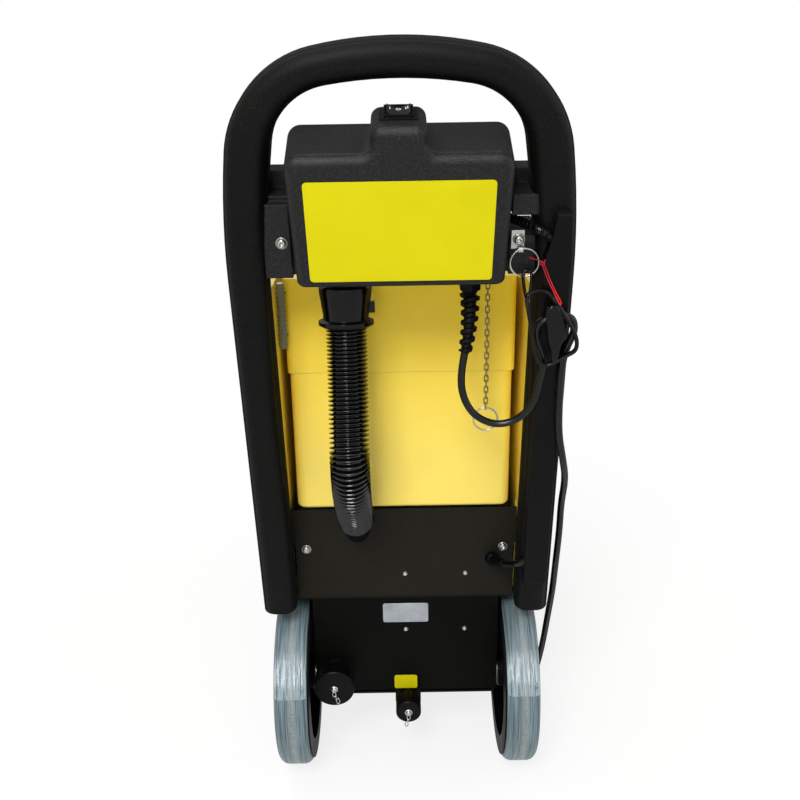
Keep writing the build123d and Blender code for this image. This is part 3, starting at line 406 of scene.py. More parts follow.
@dataclass(frozen=True)
class Tread:
    """Grey tyre: streaks run round the wheel, with a dusty worn band near the middle."""

    name: str
    middle_x: float
    rubber: Rgb = (58, 76, 82)
    light: Rgb = (122, 143, 151)
    dust: Rgb = (160, 162, 156)
    wall: Rgb = (9, 9, 9)
    # Streaks to the metre across and to the radian; then metres from the middle and from the axle.
    streaks: Pair = (420.0, 1.1)
    band_off: float = 0.0018
    band: Pair = (0.0075, 0.0035)
    shoulder: Pair = (0.1195, 0.1165)
    specks: float = 700.0
    relief: float = 0.00025

    def build(self) -> Material:
        """Streaks on the unrolled tread, the dusty band and the dark wall.

        Returns:
            The material.
        """
        sheet = NodeSheet(self.name)
        place = sheet.place((self.middle_x * MM, AXLE_Y * MM, AXLE_Z * MM))
        x, y, z = sheet.axes(place)
        around = sheet.maths("ARCTAN2", y, z)
        square = sheet.maths("ADD", sheet.times(y, y), sheet.times(z, z))
        radius = sheet.maths("SQRT", square)
        streak = sheet.noise(sheet.laid_round(x, around, *self.streaks), 1.0, 4.0, 0.65)
        speck = sheet.noise(place, self.specks, 2.0, 0.7)
        colour = sheet.mix(sheet.span(streak, 0.40, 0.62), linear(self.rubber), linear(self.light))
        off = sheet.maths("ABSOLUTE", sheet.maths("SUBTRACT", x, self.band_off))
        ragged = sheet.maths("ADD", off, sheet.vary(streak, 0.0, 0.003))
        band = sheet.span(ragged, *self.band)
        dusty = sheet.times(band, sheet.span(speck, 0.38, 0.62, 0.15, 0.75))
        colour = sheet.mix(dusty, colour, linear(self.dust))
        colour = sheet.mix(sheet.span(radius, *self.shoulder), colour, linear(self.wall))
        rough = sheet.maths("ADD", streak, sheet.times(speck, 0.3))
        return sheet.shade(colour, sheet.vary(streak, 0.36, 0.6), sheet.bump(rough, self.relief))


@dataclass(frozen=True)
class Clear:
    """Clear plastic, tinted, with faint streaks in its gloss."""

    name: str
    tint: Rgb
    roughness: float = 0.12
    alpha: float = 0.35
    relief: float = 0.0002
    streaks: float = 70.0

    def build(self) -> Material:
        """Streaks in the tint and the gloss.

        Returns:
            The material.
        """
        sheet = NodeSheet(self.name)
        place = sheet.place(stretch=(6.0, 1.0, 1.0))
        streak = sheet.noise(place, self.streaks, 3.0)
        colour = sheet.mix(streak, linear(self.tint, 0.85), linear(self.tint))
        gloss = sheet.vary(streak, self.roughness * 0.6, self.roughness * 1.6)
        return sheet.shade(colour, gloss, sheet.bump(streak, self.relief), alpha=self.alpha)


@dataclass(frozen=True)
class WrapFilm:
    """Clear film stuck round a tyre: streaked round the wheel, faintly milky, and whitened by a painted
    highlight in a band near its end.
    """

    name: str
    middle_x: float
    milk_and_highlight: Rgb = (222, 236, 242)
    streaks: Pair = (330.0, 2.6)
    # Radians up from straight back, where the painted highlight band starts and ends.
    highlight_from: Pair = (0.45, 0.53)
    highlight_to: Pair = (0.58, 0.86)
    relief: float = 0.0004

    def build(self) -> Material:
        """Cover = painted highlight band by turn x streaks on the unrolled tread.

        Returns:
            The material.
        """
        sheet = NodeSheet(self.name)
        place = sheet.place((self.middle_x * MM, AXLE_Y * MM, AXLE_Z * MM))
        x, y, z = sheet.axes(place)
        turn = sheet.maths("ARCTAN2", z, sheet.times(y, -1.0))
        laid = sheet.laid_round(x, turn, *self.streaks)
        broad = sheet.noise(laid, 1.0, 2.0, 0.6)
        fine = sheet.noise(laid, 3.4, 3.0, 0.7)
        streak = sheet.maths("ADD", sheet.times(broad, 0.6), sheet.times(fine, 0.4))
        # Painted highlight: the film goes milky white in a band round the wheel where light would glint on
        # it.
        begun = sheet.span(turn, *self.highlight_from, 0.30, 0.70)
        ended = sheet.span(turn, *self.highlight_to, 1.0, 0.07)
        highlight_band = sheet.times(begun, ended)
        cover = sheet.times(highlight_band, sheet.span(streak, 0.43, 0.58, 0.06, 1.0))
        gloss = sheet.span(streak, 0.35, 0.65, 0.10, 0.26)
        return sheet.shade(linear(self.milk_and_highlight), gloss, sheet.bump(streak, self.relief), alpha=cover)


@dataclass(frozen=True)
class PlugFinish:
    """Moulded plug: black body, brass pins past a plane across X."""

    name: str
    pins_past_x: float
    dark: Rgb = (18, 18, 18)
    pale: Rgb = (30, 30, 30)
    brass: Rgb = (205, 178, 104)
    relief: float = 0.00003
    specks: float = 800.0

    def build(self) -> Material:
        """Body and pins, parted by a plane.

        Returns:
            The material.
        """
        sheet = NodeSheet(self.name)
        place = sheet.place()
        x, _, _ = sheet.axes(place)
        pins = sheet.maths("LESS_THAN", x, self.pins_past_x)
        fine = sheet.noise(place, self.specks)
        body = sheet.mix(fine, linear(self.dark), linear(self.pale))
        colour = sheet.mix(pins, body, linear(self.brass))
        normal, _ = sheet.soft_edge(0.001)
        gloss = sheet.vary(fine, 0.28, 0.42)
        return sheet.shade(colour, gloss, sheet.bump(fine, self.relief, normal), metallic=pins)


class Finishes:
    """Every finish of the machine, built once and handed out by name."""

    # Mouldings: name, colour, roughness, grain, relief, cloud, rubbed, edge, specular, painted glint,
    # edge_on.
    PLANS: ClassVar[tuple] = (
        # Handle and box grain carry painted glints on their grain bumps.
        Moulding("handle_grain", (7, 7, 6), 0.46, 0.0014, 0.00032, 0.15, 0.05, 0.0020, 0.10, 0.06, 1.0),
        Moulding("box_grain", (8, 9, 9), 0.31, 0.0012, 0.00055, 0.15, 0.06, 0.0025, 0.24, 0.24, 1.0),
        Moulding("gloss_black", (5, 5, 5), 0.16, 0.0008, 0.00002, 0.15, 0.05, 0.0010, 0.20, 0.0, 0.6),
        Moulding("rocker_black", (6, 6, 6), 0.30, 0.0008, 0.00001, 0.10, 0.04, 0.0006, 0.14, 0.0, 0.8),
        Moulding("rim_black", (6, 6, 6), 0.55, 0.0009, 0.00004, 0.15, 0.04, 0.0010, 0.06),
        Moulding("satin_black", (7, 7, 7), 0.38, 0.0009, 0.00004, 0.15, 0.06, 0.0010, 0.10, 0.0, 0.9),
        Moulding("sheet_black", (9, 9, 8), 0.50, 0.0006, 0.00005, 0.14, 0.10, 0.0010, 0.10),
        Moulding("tank_yellow", (253, 224, 80), 0.42, 0.0045, 0.00004, 0.012, 0.10, 0.0025, 0.25),
        # Tanks: the paler colour low down is a painted sheen; the upper colour is their yellow.
        Moulding("yellow_painted_sheen", (253, 226, 104), 0.42, 0.0045, 0.00004, 0.012, 0.10, 0.0025, 0.25,
                 upper=(254, 218, 44)),
        Moulding("label_yellow", (204, 194, 10), 0.42, 0.0030, 0.00002, 0.015, 0.05, 0.0004, 0.08),
        Moulding("lead_black", (4, 4, 4), 0.16, 0.0015, 0.00002, 0.2, 0.03, 0.0004, 0.30, 0.0, 0.8),
        Moulding("hose_black", (2, 2, 2), 0.12, 0.0020, 0.00001, 0.2, 0.02, 0.0002, 0.50, 0.0, 0.20),
        Moulding("belt_rubber", (20, 20, 21), 0.7, 0.0010, 0.00008, 0.2, 0.08, 0.0006, 0.3),
        Moulding("gasket_rubber", (36, 36, 37), 0.75, 0.0010, 0.00005, 0.2, 0.08, 0.0006, 0.3),
        Moulding("float_white", (232, 230, 222), 0.42, 0.0020, 0.00006, 0.04, 0.05, 0.0012, 0.5),
        Moulding("bristle_blue", (44, 66, 104), 0.55, 0.0008, 0.00003, 0.25, 0.2, 0.0003, 0.4),
        Moulding("thread_red", (196, 26, 38), 0.7, 0.0004, 0.00008, 0.2, 0.1, 0.0002, 0.3),
        Moulding("mark_white", (236, 236, 232), 0.45, 0.0006, 0.00002, 0.05, 0.0, 0.0001, 0.5),
        Moulding("tie_cloth", (30, 30, 34), 0.85, 0.0007, 0.00018, 0.25, 0.05, 0.0003, 0.2),
        # Rear panel carries painted light and shade at its joggle.
        PanelSheet("panel_paint_and_shade"),
        Metal("steel", (196, 194, 188), 0.27),
        Metal("chain_dull", (150, 138, 98), 0.34),
        Metal("plate_silver", (178, 184, 190), 0.42, (1.0, 1.0, 30.0), 120.0),
        Metal("aluminium_cast", (170, 172, 174), 0.45, (1.0, 1.0, 1.0), 500.0, 0.00008),
        Metal("brass", (202, 170, 92), 0.3),
        Tread("tyre_left_grey", -154.5),
        Tread("tyre_right_grey", 154.5),
        Clear("clear_tube", (150, 160, 140), 0.16, 0.55),
        # Films carry a painted highlight band near their end.
        WrapFilm("film_left", -154.5),
        WrapFilm("film_right", 154.5),
        PlugFinish("plug_black", -0.1583),
    )

    def __init__(self) -> None:
        """Builds each finish."""
        self.made = {plan.name: plan.build() for plan in self.PLANS}

    def dress(self, obj: Piece, name: str) -> None:
        """Gives a piece one finish in place of what it had."""
        obj.data.materials.clear()
        obj.data.materials.append(self.made[name])


class Shell:
    """Mesh gathered from grids of points, each a surface of two parameters."""

    def __init__(self) -> None:
        """Starts with nothing."""
        self.points: list[Array] = []
        self.faces: list[list[int]] = []
        self.count = 0

    def grids(self, points: Array, wrap_rows: bool = False, capped: bool = True) -> None:
        """Adds equal grids of quads, each closed round its columns.

        Args:
            points: Array of copies, rows, columns and three coordinates.
            wrap_rows: The last row joins the first.
            capped: End rows are closed to their middle points.
        """
        copies, rows, cols = points.shape[:3]
        index = np.arange(copies * rows * cols).reshape(copies, rows, cols) + self.count
        if wrap_rows:
            index = np.concatenate((index, index[:, :1]), axis=1)
        index = np.concatenate((index, index[:, :, :1]), axis=2)
        corners = (index[:, :-1, :-1], index[:, 1:, :-1], index[:, 1:, 1:], index[:, :-1, 1:])
        self.faces.extend(np.stack(corners, axis=-1).reshape(-1, 4).tolist())
        self.points.append(points.reshape(-1, 3))
        self.count += copies * rows * cols
        if not capped or wrap_rows:
            return
        for row in (0, -1):
            hub = np.arange(copies) + self.count
            ring = index[:, row]
            hubs = np.repeat(hub[:, None], ring.shape[1] - 1, axis=1)
            fan = np.stack((ring[:, :-1], ring[:, 1:], hubs), axis=-1)
            self.faces.extend(fan.reshape(-1, 3).tolist())
            self.points.append(points[:, row].mean(axis=1))
            self.count += copies

    def grid(self, points: Array, wrap_rows: bool = False, capped: bool = True) -> None:
        """Adds one grid."""
        self.grids(points[None], wrap_rows, capped)

    def make(self, name: str) -> Piece:
        """Finished object with faces turned outwards and smooth shading.

        Args:
            name: Name of the object.
        Returns:
            The linked object, at the origin.
        """
        mesh = bpy.data.meshes.new(name)
        mesh.from_pydata(np.concatenate(self.points).tolist(), [], self.faces)
        work = bmesh.new()
        work.from_mesh(mesh)
        bmesh.ops.recalc_face_normals(work, faces=work.faces)
        work.to_mesh(mesh)
        work.free()
        mesh.polygons.foreach_set("use_smooth", np.ones(len(mesh.polygons), bool))
        mesh.update()
        obj = bpy.data.objects.new(name, mesh)
        bpy.context.scene.collection.objects.link(obj)
        return obj


def unit(vectors: Array) -> Array:
    """Vectors shortened to length one."""
    return vectors / np.linalg.norm(vectors, axis=-1, keepdims=True)


def full_turn(count: int) -> Array:
    """Angles of that many equal steps round a circle."""
    return np.arange(count) * (2 * np.pi / count)


def length_run(path: Array) -> Array:
    """Length run at each point of a path."""
    steps = np.linalg.norm(np.diff(path, axis=0), axis=1)
    return np.concatenate(((0.0,), np.cumsum(steps)))


def at_runs(path: Array, runs: Array) -> Array:
    """Points of a path at these lengths along it."""
    known = length_run(path)
    return np.stack([np.interp(runs, known, path[:, axis]) for axis in range(3)], axis=1)


def even_line(path: Array, count: int) -> Array:
    """The same line at evenly spaced points."""
    return at_runs(path, np.linspace(0.0, length_run(path)[-1], count))


def path_frames(path: Array, steady: Sequence[float]) -> tuple[Array, Array, Array]:
    """Directions along a path.

    Args:
        path: Rows of points.
        steady: Direction that the side vectors stay closest to.
    Returns:
        Side vectors, second side vectors and length run, one row for each point.
    """
    tangent = unit(np.gradient(path, axis=0))
    second = unit(np.cross(tangent, np.asarray(steady, float)))
    return np.cross(second, tangent), second, length_run(path)


def ringed(path: Array, side: Array, second: Array, radius: Array) -> Array:
    """Rings round a path: point + radius times (cosine of the turn x side + sine x second).

    Args:
        path: Rows of points.
        side: First direction across the path, for each row or one for all.
        second: Second direction across it, likewise.
        radius: Radius for each row and turn.
    Returns:
        Grid of rows, turns and coordinates.
    """
    angle = full_turn(radius.shape[1])[:, None]
    spread = np.cos(angle) * side[:, None] + np.sin(angle) * second[:, None]
    return path[:, None] + radius[:, :, None] * spread


def turned(profile: Sequence[Sequence[float]], origin: Sequence[float], axis: Sequence[float],
           turns: int = 48) -> Array:
    """Body of revolution: each radius and height pair carried round the axis.

    Args:
        profile: Rows of radius and height in metres.
        origin: Start of the axis in metres.
        axis: Direction of the axis.
        turns: Points in each ring.
    Returns:
        Grid of rows, turns and coordinates.
    """
    rows = np.asarray(profile, float)
    along = unit(np.asarray(axis, float))
    helper = np.array((1.0, 0.0, 0.0)) if abs(along[0]) < 0.9 else np.array((0.0, 1.0, 0.0))
    second = unit(np.cross(along, helper))
    side = np.cross(second, along)
    path = np.asarray(origin, float) + rows[:, 1:2] * along
    return ringed(path, side[None], second[None], np.repeat(rows[:, :1], turns, axis=1))


def smooth_loop(points: Array, steps: int = 8) -> Array:
    """Closed line that rounds a polygon's corners, tangent to its sides at their middles.

    Args:
        points: Corners of the polygon.
        steps: Points on each rounded corner.
    Returns:
        Rows of points, each corner a parabola (1-t)^2 a + 2t(1-t) b + t^2 c.
    """
    before = (points + np.roll(points, 1, axis=0)) / 2
    after = (points + np.roll(points, -1, axis=0)) / 2
    t = (np.arange(steps) / steps)[None, :, None]
    line = (1 - t) ** 2 * before[:, None] + 2 * t * (1 - t) * points[:, None] + t**2 * after[:, None]
    return line.reshape(-1, points.shape[1])


def loop_tube(path: Array, wide: float, thick: float, normal: Sequence[float], turns: int = 12) -> Array:
    """Closed bar of oval section along a flat loop.

    Args:
        path: Points of the loop.
        wide: Half width in the loop's plane, in metres.
        thick: Half thickness across the plane, in metres.
        normal: Direction across the plane.
        turns: Points round the section.
    Returns:
        Grid whose rows and columns both close.
    """
    tangent = unit(np.roll(path, -1, axis=0) - np.roll(path, 1, axis=0))
    across = unit(np.asarray(normal, float))
    inward = unit(np.cross(tangent, across))
    angle = full_turn(turns)[:, None]
    return path[:, None] + np.cos(angle) * inward[:, None] * wide + np.sin(angle) * across * thick


def spline_curve(name: str, points: Array, radius: float, fine: int = 6) -> Piece:
    """Round cord on a smooth spline.

    Args:
        name: Name of the object.
        points: Control points in metres.
        radius: Radius of the cord in metres, or 0 for a bare line.
        fine: Steps between control points.
    Returns:
        The linked curve object.
    """
    curve = bpy.data.curves.new(name, "CURVE")
    curve.dimensions = "3D"
    curve.resolution_u = fine
    curve.bevel_depth = radius
    curve.bevel_resolution = 4
    curve.use_fill_caps = radius > 0
    spline = curve.splines.new("NURBS")
    spline.points.add(len(points) - 1)
    spline.points.foreach_set("co", np.hstack((points, np.ones((len(points), 1)))).ravel())
    spline.order_u = 3
    spline.use_endpoint_u = True
    obj = bpy.data.objects.new(name, curve)
    bpy.context.scene.collection.objects.link(obj)
    return obj


def spline_line(points: Array, fine: int = 24) -> Array:
    """Points read from the spline that these control points give.

    Args:
        points: Control points in metres.
        fine: Steps between control points.
    Returns:
        Rows of points along the spline.
    """
    bare = spline_curve("route_line", points, 0.0, fine)
    mesh = bpy.data.meshes.new_from_object(bare)
    flat = np.empty(len(mesh.vertices) * 3)
    mesh.vertices.foreach_get("co", flat)
    bpy.data.meshes.remove(mesh)
    curve = bare.data
    bpy.data.objects.remove(bare)
    bpy.data.curves.remove(curve)
    return flat.reshape(-1, 3)


@dataclass
class SubAssembly:
    """A group of pieces that are built and dressed together."""

    finishes: Finishes

    def settle(self, obj: Piece, body: Body, finish: str, slot: str,
               replaces: Sequence[str] = ()) -> Piece:
        """Dresses a piece, puts it on its body and hides the CAD nodes that it stands for.

        Args:
            obj: The piece.
            body: Body that it moves with.
            finish: Name of the finish.
            slot: Not used.
            replaces: CAD nodes that it stands for.
        Returns:
            The piece.
        """
        self.finishes.dress(obj, finish)
        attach(obj, body.value)
        if replaces:
            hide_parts(*replaces)
        LOG.info("%s rides on %s in %s", obj.name, body.value, finish)
        return obj

    def mesh(self, name: str, grid: Array, body: Body, finish: str, slot: str, replaces: Sequence[str] = (),
             wrap_rows: bool = False) -> Piece:
        """Settled piece of one grid.

        Args:
            name: Name of the piece.
            grid: Its surface, closed round each row.
            body, finish, slot, replaces: As for settle.
            wrap_rows: The last row joins the first.
        Returns:
            The piece.
        """
        shell = Shell()
        shell.grid(grid, wrap_rows)
        return self.settle(shell.make(name), body, finish, slot, replaces)


@dataclass
class MainsLead(SubAssembly):
    """Mains lead from the strain relief over the hook to the floor, its coil, tie and plug."""

    radius: float = 4.2
    coil_centre: Pair = (60.0, 663.0)
    coil_outer: float = 88.0
    coil_pitch: float = 9.0
    coil_layer: float = 9.0
    coil_floor: float = 5.8
    half_turns: int = 9
    layers: int = 4
    per_half: int = 8
    length: float = 10.2
    plug_z: float = 17.6
    tie_bend: float = 0.006
    tie_thick: float = 0.0011
    tie_steps: int = 6

    LOOP: ClassVar[tuple] = (
        (70.3, -129, 650), (65.5, -131, 625), (68, -134, 598), (82, -137, 575),
        (108, -140, 565), (133, -141.5, 574), (148, -142.5, 594),
    )
    HOOKED: ClassVar[tuple] = (
        (153.5, 368, 43.2), (157, 388, 43.2), (153, 404, 43.2), (146, 420, 43.2), (145.5, 436, 43.2),
        (158, 443.5, 43.2), (170, 446.5, 43.2), (184.5, 444, 43.2), (188, 428, 43.2), (181.5, 411, 43.2),
        (177.5, 394, 43.2), (176.6, 368, 43.2), (177, 345, 43.2), (179, 298, 43.4),
        (186.5, 262, 43.2), (194.2, 226, 32),
    )
    DOWN: ClassVar[tuple] = (
        (195.0, -85, 436), (195.4, -82, 396), (195, -70, 345), (195.4, -54, 290), (195, -30, 234),
        (195.4, -6, 182), (195.6, 22, 130), (196, 54, 82), (196.6, 92, 38), (197.5, 138, 10), (200, 186, 4.4),
        (204, 230, 4.4), (211, 280, 4.4), (217, 336, 4.4), (220, 398, 4.4), (219, 462, 4.4), (212, 520, 4.4),
        (197, 558, 4.4), (176, 588, 4.6), (156, 612, 5.2), (148, 632, 5.8), (148, 654.6, 5.8),
    )

    # Way from the coil's end; the last two points lie at the plug's own height.
    TAIL: ClassVar[tuple] = ((0, 0, 0), (0, -20, 0), (-8, -42, -3), (-27, -60, -9))
    TO_PLUG: ClassVar[tuple] = ((-52, -69), (-76, -71))

    def coil(self) -> tuple[Array, Array]:
        """Turns of the coil.

        Each half turn is a row of points on its own half circle, drawn out so that the spline inside them
        has that circle's radius. The radius changes by half a pitch each time, and a half turn lifts each
        layer.

        Returns:
            Control points, and the point where the lead leaves the coil.
        """
        outward = 1.0 / (0.75 + 0.25 * math.cos(math.pi / self.per_half))
        share = (np.arange(self.per_half) + 0.5) / self.per_half
        place = np.array((self.coil_centre[0] + self.coil_outer, self.coil_centre[1], self.coil_floor))
        radius, change = self.coil_outer, -self.coil_pitch / 2
        rows = []

        def half(start: Array, size: float, side: int, lift: float) -> Array:
            """Half circle from start to its far side.

            Args:
                start: Where it starts, in millimetres.
                size: Its radius.
                side: 1 or -1, the side that it starts on.
                lift: How much it rises.
            Returns:
                Where it ends.
            """
            angle = (0.0 if side > 0 else math.pi) + share * math.pi
            centre = start - np.array((side * size, 0.0, 0.0))
            ring = np.stack((np.cos(angle), np.sin(angle)), axis=1) * size * outward
            rise = lift * share * share * (3 - 2 * share)
            rows.append(centre + np.column_stack((ring, rise)))
            return start + np.array((-2 * side * size, 0.0, lift))

        for layer in range(self.layers):
            for turn in range(self.half_turns):
                place = half(place, radius, 1 if turn % 2 == 0 else -1, 0.0)
                radius += change
            if layer < self.layers - 1:
                place = half(place, radius, -1, self.coil_layer)
                change = -change
                radius += change
        return np.concatenate(rows), place - np.array((0.0, 2 * self.radius, 0.0))

    def build(self) -> None:
        """Lead on one spline that runs to the plug, and the tie on it."""
        coil, end = self.coil()
        tail = end + np.array(self.TAIL)
        to_plug = np.array([(*(end[:2] + step), self.plug_z) for step in self.TO_PLUG])
        route = np.concatenate((
            axle_at(self.LOOP), lean_at(self.HOOKED), axle_at(self.DOWN), axle_at(coil), axle_at(tail),
            axle_at(to_plug),
        ))
        lead = spline_curve("mains_lead_cord", route, self.radius * MM)
        self.settle(lead, Body.MACHINE, "lead_black", "black_rubber",
                    ("mains_lead", "mains_coil", "mains_tail"))
        tie = self.tie()

    def tie(self) -> Piece:
        """Woven band round the coil: a rounded loop of thin rectangular section.

        Returns:
            The band.
        """
        low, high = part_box("coil_tie")
        y0, y1, z0, z1 = low.y, high.y, low.z, high.z
        bend = self.tie_bend
        corners = np.array((
            (y0, z0), (y0 + bend, z0), (y1 - bend, z0), (y1, z0), (y1, z0 + bend), (y1, z1 - bend),
            (y1, z1), (y1 - bend, z1), (y0 + bend, z1), (y0, z1), (y0, z1 - bend), (y0, z0 + bend),
        ))
        loop = smooth_loop(corners, self.tie_steps)
        middle = loop.mean(axis=0)
        half = np.array(((y1 - y0) / 2, (z1 - z0) / 2))
        inner = middle + (loop - middle) * (1 - self.tie_thick / half)
        section = ((low.x, loop), (high.x, loop), (high.x, inner), (low.x, inner))
        grid = np.stack([np.column_stack((np.full(len(line), x), line)) for x, line in section], axis=1)
        return self.mesh("coil_band", grid, Body.MACHINE, "tie_cloth", "black_rubber", ("coil_tie",), True)


@dataclass
class Gland(SubAssembly):
    """Cable gland under the box: hexagon nut, dome and spiral strain relief."""

    top: Point = (76.7, 489.5, -4.0)
    low: Point = (76.7, 453.0, -4.0)
    bend: Point = (77.5, -124.0, 684.0)
    end: Point = (70.3, -129.0, 650.0)
    coils: float = 6.0
    root: float = 7.4
    crest: float = 11.4
    thin_end: float = 0.66
    half_flats: float = 11.3
    corner: float = 12.6
    nut_size: float = 11.4
    nut_turns: int = 96
    relief_turns: int = 40
    relief_steps: int = 150
    # Gain, lift and power of the wave.
    ridge: Point = (1.35, 0.35, 0.6)

    # Way down from the top, radius, and 1 where the section is a hexagon.
    NUT: ClassVar[tuple] = (
        (-4.0, 7.0, 0), (0.2, 7.0, 0), (0.4, 10.8, 0), (7.6, 10.8, 0), (8.0, 11.0, 1), (8.6, 11.4, 1),
        (29.0, 11.4, 1), (30.0, 11.0, 1), (31.0, 10.2, 0), (33.2, 9.0, 0), (34.4, 7.4, 0), (34.8, 5.0, 0),
    )

    def build(self) -> None:
        """Nut with flats, then a ridge that winds down the tapering relief.

        Hexagon = half width / cosine of the turn from the nearest flat, cut off at the corners. Relief =
        (root + (crest - root) x a clipped cosine of run and turn) x a taper that is even along the run.
        """
        top, low = lean_at(self.top), lean_at(self.low)
        angle = full_turn(self.nut_turns)
        flat = self.half_flats / np.cos((angle + np.pi / 6) % (np.pi / 3) - np.pi / 6)
        hexagon = np.minimum(flat, self.corner) / self.nut_size
        down, size, hexed = np.array(self.NUT).T[..., None]
        radius = size * np.where(hexed, hexagon, 1.0) * MM
        along = unit(low - top)
        side = np.array(((1.0, 0.0, 0.0),))
        nut = ringed(top + down * MM * along, side, unit(np.cross(along, side)), radius)
        self.mesh("gland_nut", nut, Body.MACHINE, "satin_black", "black_rubber", ("cable_gland",))
        line = spline_line(np.stack((low, axle_at(self.bend), axle_at(self.end))))
        line = even_line(line, self.relief_steps)
        side, second, run = path_frames(line, (1.0, 0.0, 0.0))
        share = run[:, None] / run[-1]
        phase = (share * self.coils - full_turn(self.relief_turns) / (2 * np.pi)) % 1.0
        gain, lift, power = self.ridge
        ridge = np.clip(gain * np.cos((phase - 0.5) * 2 * np.pi) + lift, 0.0, 1.0) ** power
        taper = 1.0 + (self.thin_end - 1.0) * share
        radius = (self.root + (self.crest - self.root) * ridge) * taper * MM
        radius[-2:] = self.root * self.thin_end * MM
        relief = ringed(line, side, second, radius)
        self.mesh("strain_relief", relief, Body.MACHINE, "satin_black", "black_rubber")


@dataclass
class SuctionHose(SubAssembly):
    """Ribbed suction hose from the cuff under the box to the slanting port."""

    crest: float = 23.3
    root: float = 17.6
    pitch: Pair = (4.0, 7.4)
    length: float = 0.338
    per_rib: int = 10
    turns: int = 64
    fine: int = 160
    narrow: float = 1.5

    ROUTE: ClassVar[tuple] = (
        (-62.0, -108.84, 706.28), (-62.0, -122.0, 600.0), (-62.0, -160.0, 488.0), (-62.0, -58.0, 404.0),
    )

    def build(self) -> None:
        """One rib winds along the route, its pitch growing evenly from the cuff to the port.

        Radius = root + (crest - root) x a narrow-crested wave of run and turn, and the ribs passed so far
        grow as the logarithm of the share of the run.
        """
        line = spline_line(axle_at(self.ROUTE), self.fine)
        first, last = self.pitch
        stretch = last / first
        ribs = round(length_run(line)[-1] / MM / (last - first) * math.log(stretch))
        line = even_line(line, ribs * self.per_rib + 1)
        side, second, run = path_frames(line, (1.0, 0.0, 0.0))
        passed = ribs * np.log(1 + (stretch - 1) * run / run[-1]) / math.log(stretch)
        phase = (passed[:, None] - full_turn(self.turns) / (2 * np.pi)) % 1.0
        wave = (0.5 - 0.5 * np.cos(phase * 2 * np.pi)) ** self.narrow
        radius = (self.root + (self.crest - self.root) * wave) * MM
        hose = self.mesh("suction_hose_ribbed", ringed(line, side, second, radius), Body.MACHINE,
                         "hose_black", "hose_black", ("suction_hose",))


@dataclass
class Harness(SubAssembly):
    """Wiring harness from the box into the duct and out to the panel, its spiral wrap and boot."""

    radius: float = 4.2
    length: float = 0.576
    wrapped: float = 0.085
    wrap_pitch: float = 0.0056
    wrap_gap: float = 0.55
    wrap_steps: int = 420
    ribbon_turns: int = 8
    boot_turns: int = 40
    fine: int = 8
    flange: float = 0.006
    # Half width and half thickness.
    ribbon: Pair = (0.0017, 0.0006)

    UPPER: ClassVar[tuple] = (
        (113, 540, -6), (124, 540, 0), (133, 540, 18), (144, 539, 31), (158, 532, 31.3), (167, 512, 31.3),
        (167.6, 430, 31.3), (166.6, 330, 31.3), (167.8, 230, 31.3), (166.8, 164, 31.3), (167.5, 126, 31.3),
        (158, 104, 31.3), (145, 93, 30.5),
    )
    LOWER: ClassVar[tuple] = ((133, -70, 341), (124, -54, 333), (116, -36, 329))
    # Radius of the boot and run from the panel.
    BOOT: ClassVar[tuple] = (
        (9.6, 0.0), (9.6, 3.0), (9.0, 4.2), (8.2, 5.2), (7.9, 9.0), (7.3, 14.0), (6.6, 20.0),
        (5.8, 26.0), (5.2, 30.0), (4.9, 31.5), (4.0, 31.8),
    )

    def build(self) -> None:
        """Cable on its spline, a ribbon wound on its upper stretch, and the boot on the panel."""
        route = np.concatenate((lean_at(self.UPPER), axle_at(self.LOWER)))
        cable = spline_curve("harness_cord", route, self.radius * MM, self.fine)
        self.settle(cable, Body.MACHINE, "lead_black", "black_rubber", ("harness_cable",))
        wrap = self.wrap(route)
        boot = self.boot(route)

    def wrap(self, route: Array) -> Piece:
        """Flat ribbon wound round the cable: an oval section carried on a helix about its line.

        Args:
            route: Control points of the cable.
        Returns:
            The ribbon.
        """
        line = spline_line(route)
        line = even_line(line[length_run(line) < self.wrapped], self.wrap_steps)
        side, second, run = path_frames(line, (0.1, 0.3, 1.0))
        angle = (run / self.wrap_pitch * 2 * np.pi)[:, None]
        spread = np.cos(angle) * side + np.sin(angle) * second
        helix = line + (self.radius + self.wrap_gap) * MM * spread
        along = unit(np.gradient(line, axis=0))
        turn = full_turn(self.ribbon_turns)[:, None]
        wide, thick = self.ribbon
        grid = helix[:, None] + np.cos(turn) * along[:, None] * wide + np.sin(turn) * spread[:, None] * thick
        return self.mesh("harness_wrap", grid, Body.MACHINE, "satin_black", "black_rubber")

    def boot(self, route: Array) -> Piece:
        """Rubber boot: a flange on the panel that tapers along the cable's own line.

        Args:
            route: Control points of the cable.
        Returns:
            The boot.
        """
        profile = np.array(self.BOOT) * MM
        path = at_runs(spline_line(route)[::-1], profile[:, 1])
        side, second, _ = path_frames(path, (0.0, 0.0, 1.0))
        flat = np.clip(profile[:, 1:] / self.flange, 0.0, 1.0)
        side = unit(side * flat + np.array((1.0, 0.0, 0.0)) * (1 - flat))
        second = unit(second * flat + np.array((0.0, 0.0, 1.0)) * (1 - flat))
        boot = ringed(path, side, second, np.repeat(profile[:, :1], self.boot_turns, axis=1))
        return self.mesh("harness_boot", boot, Body.MACHINE, "satin_black", "black_rubber")


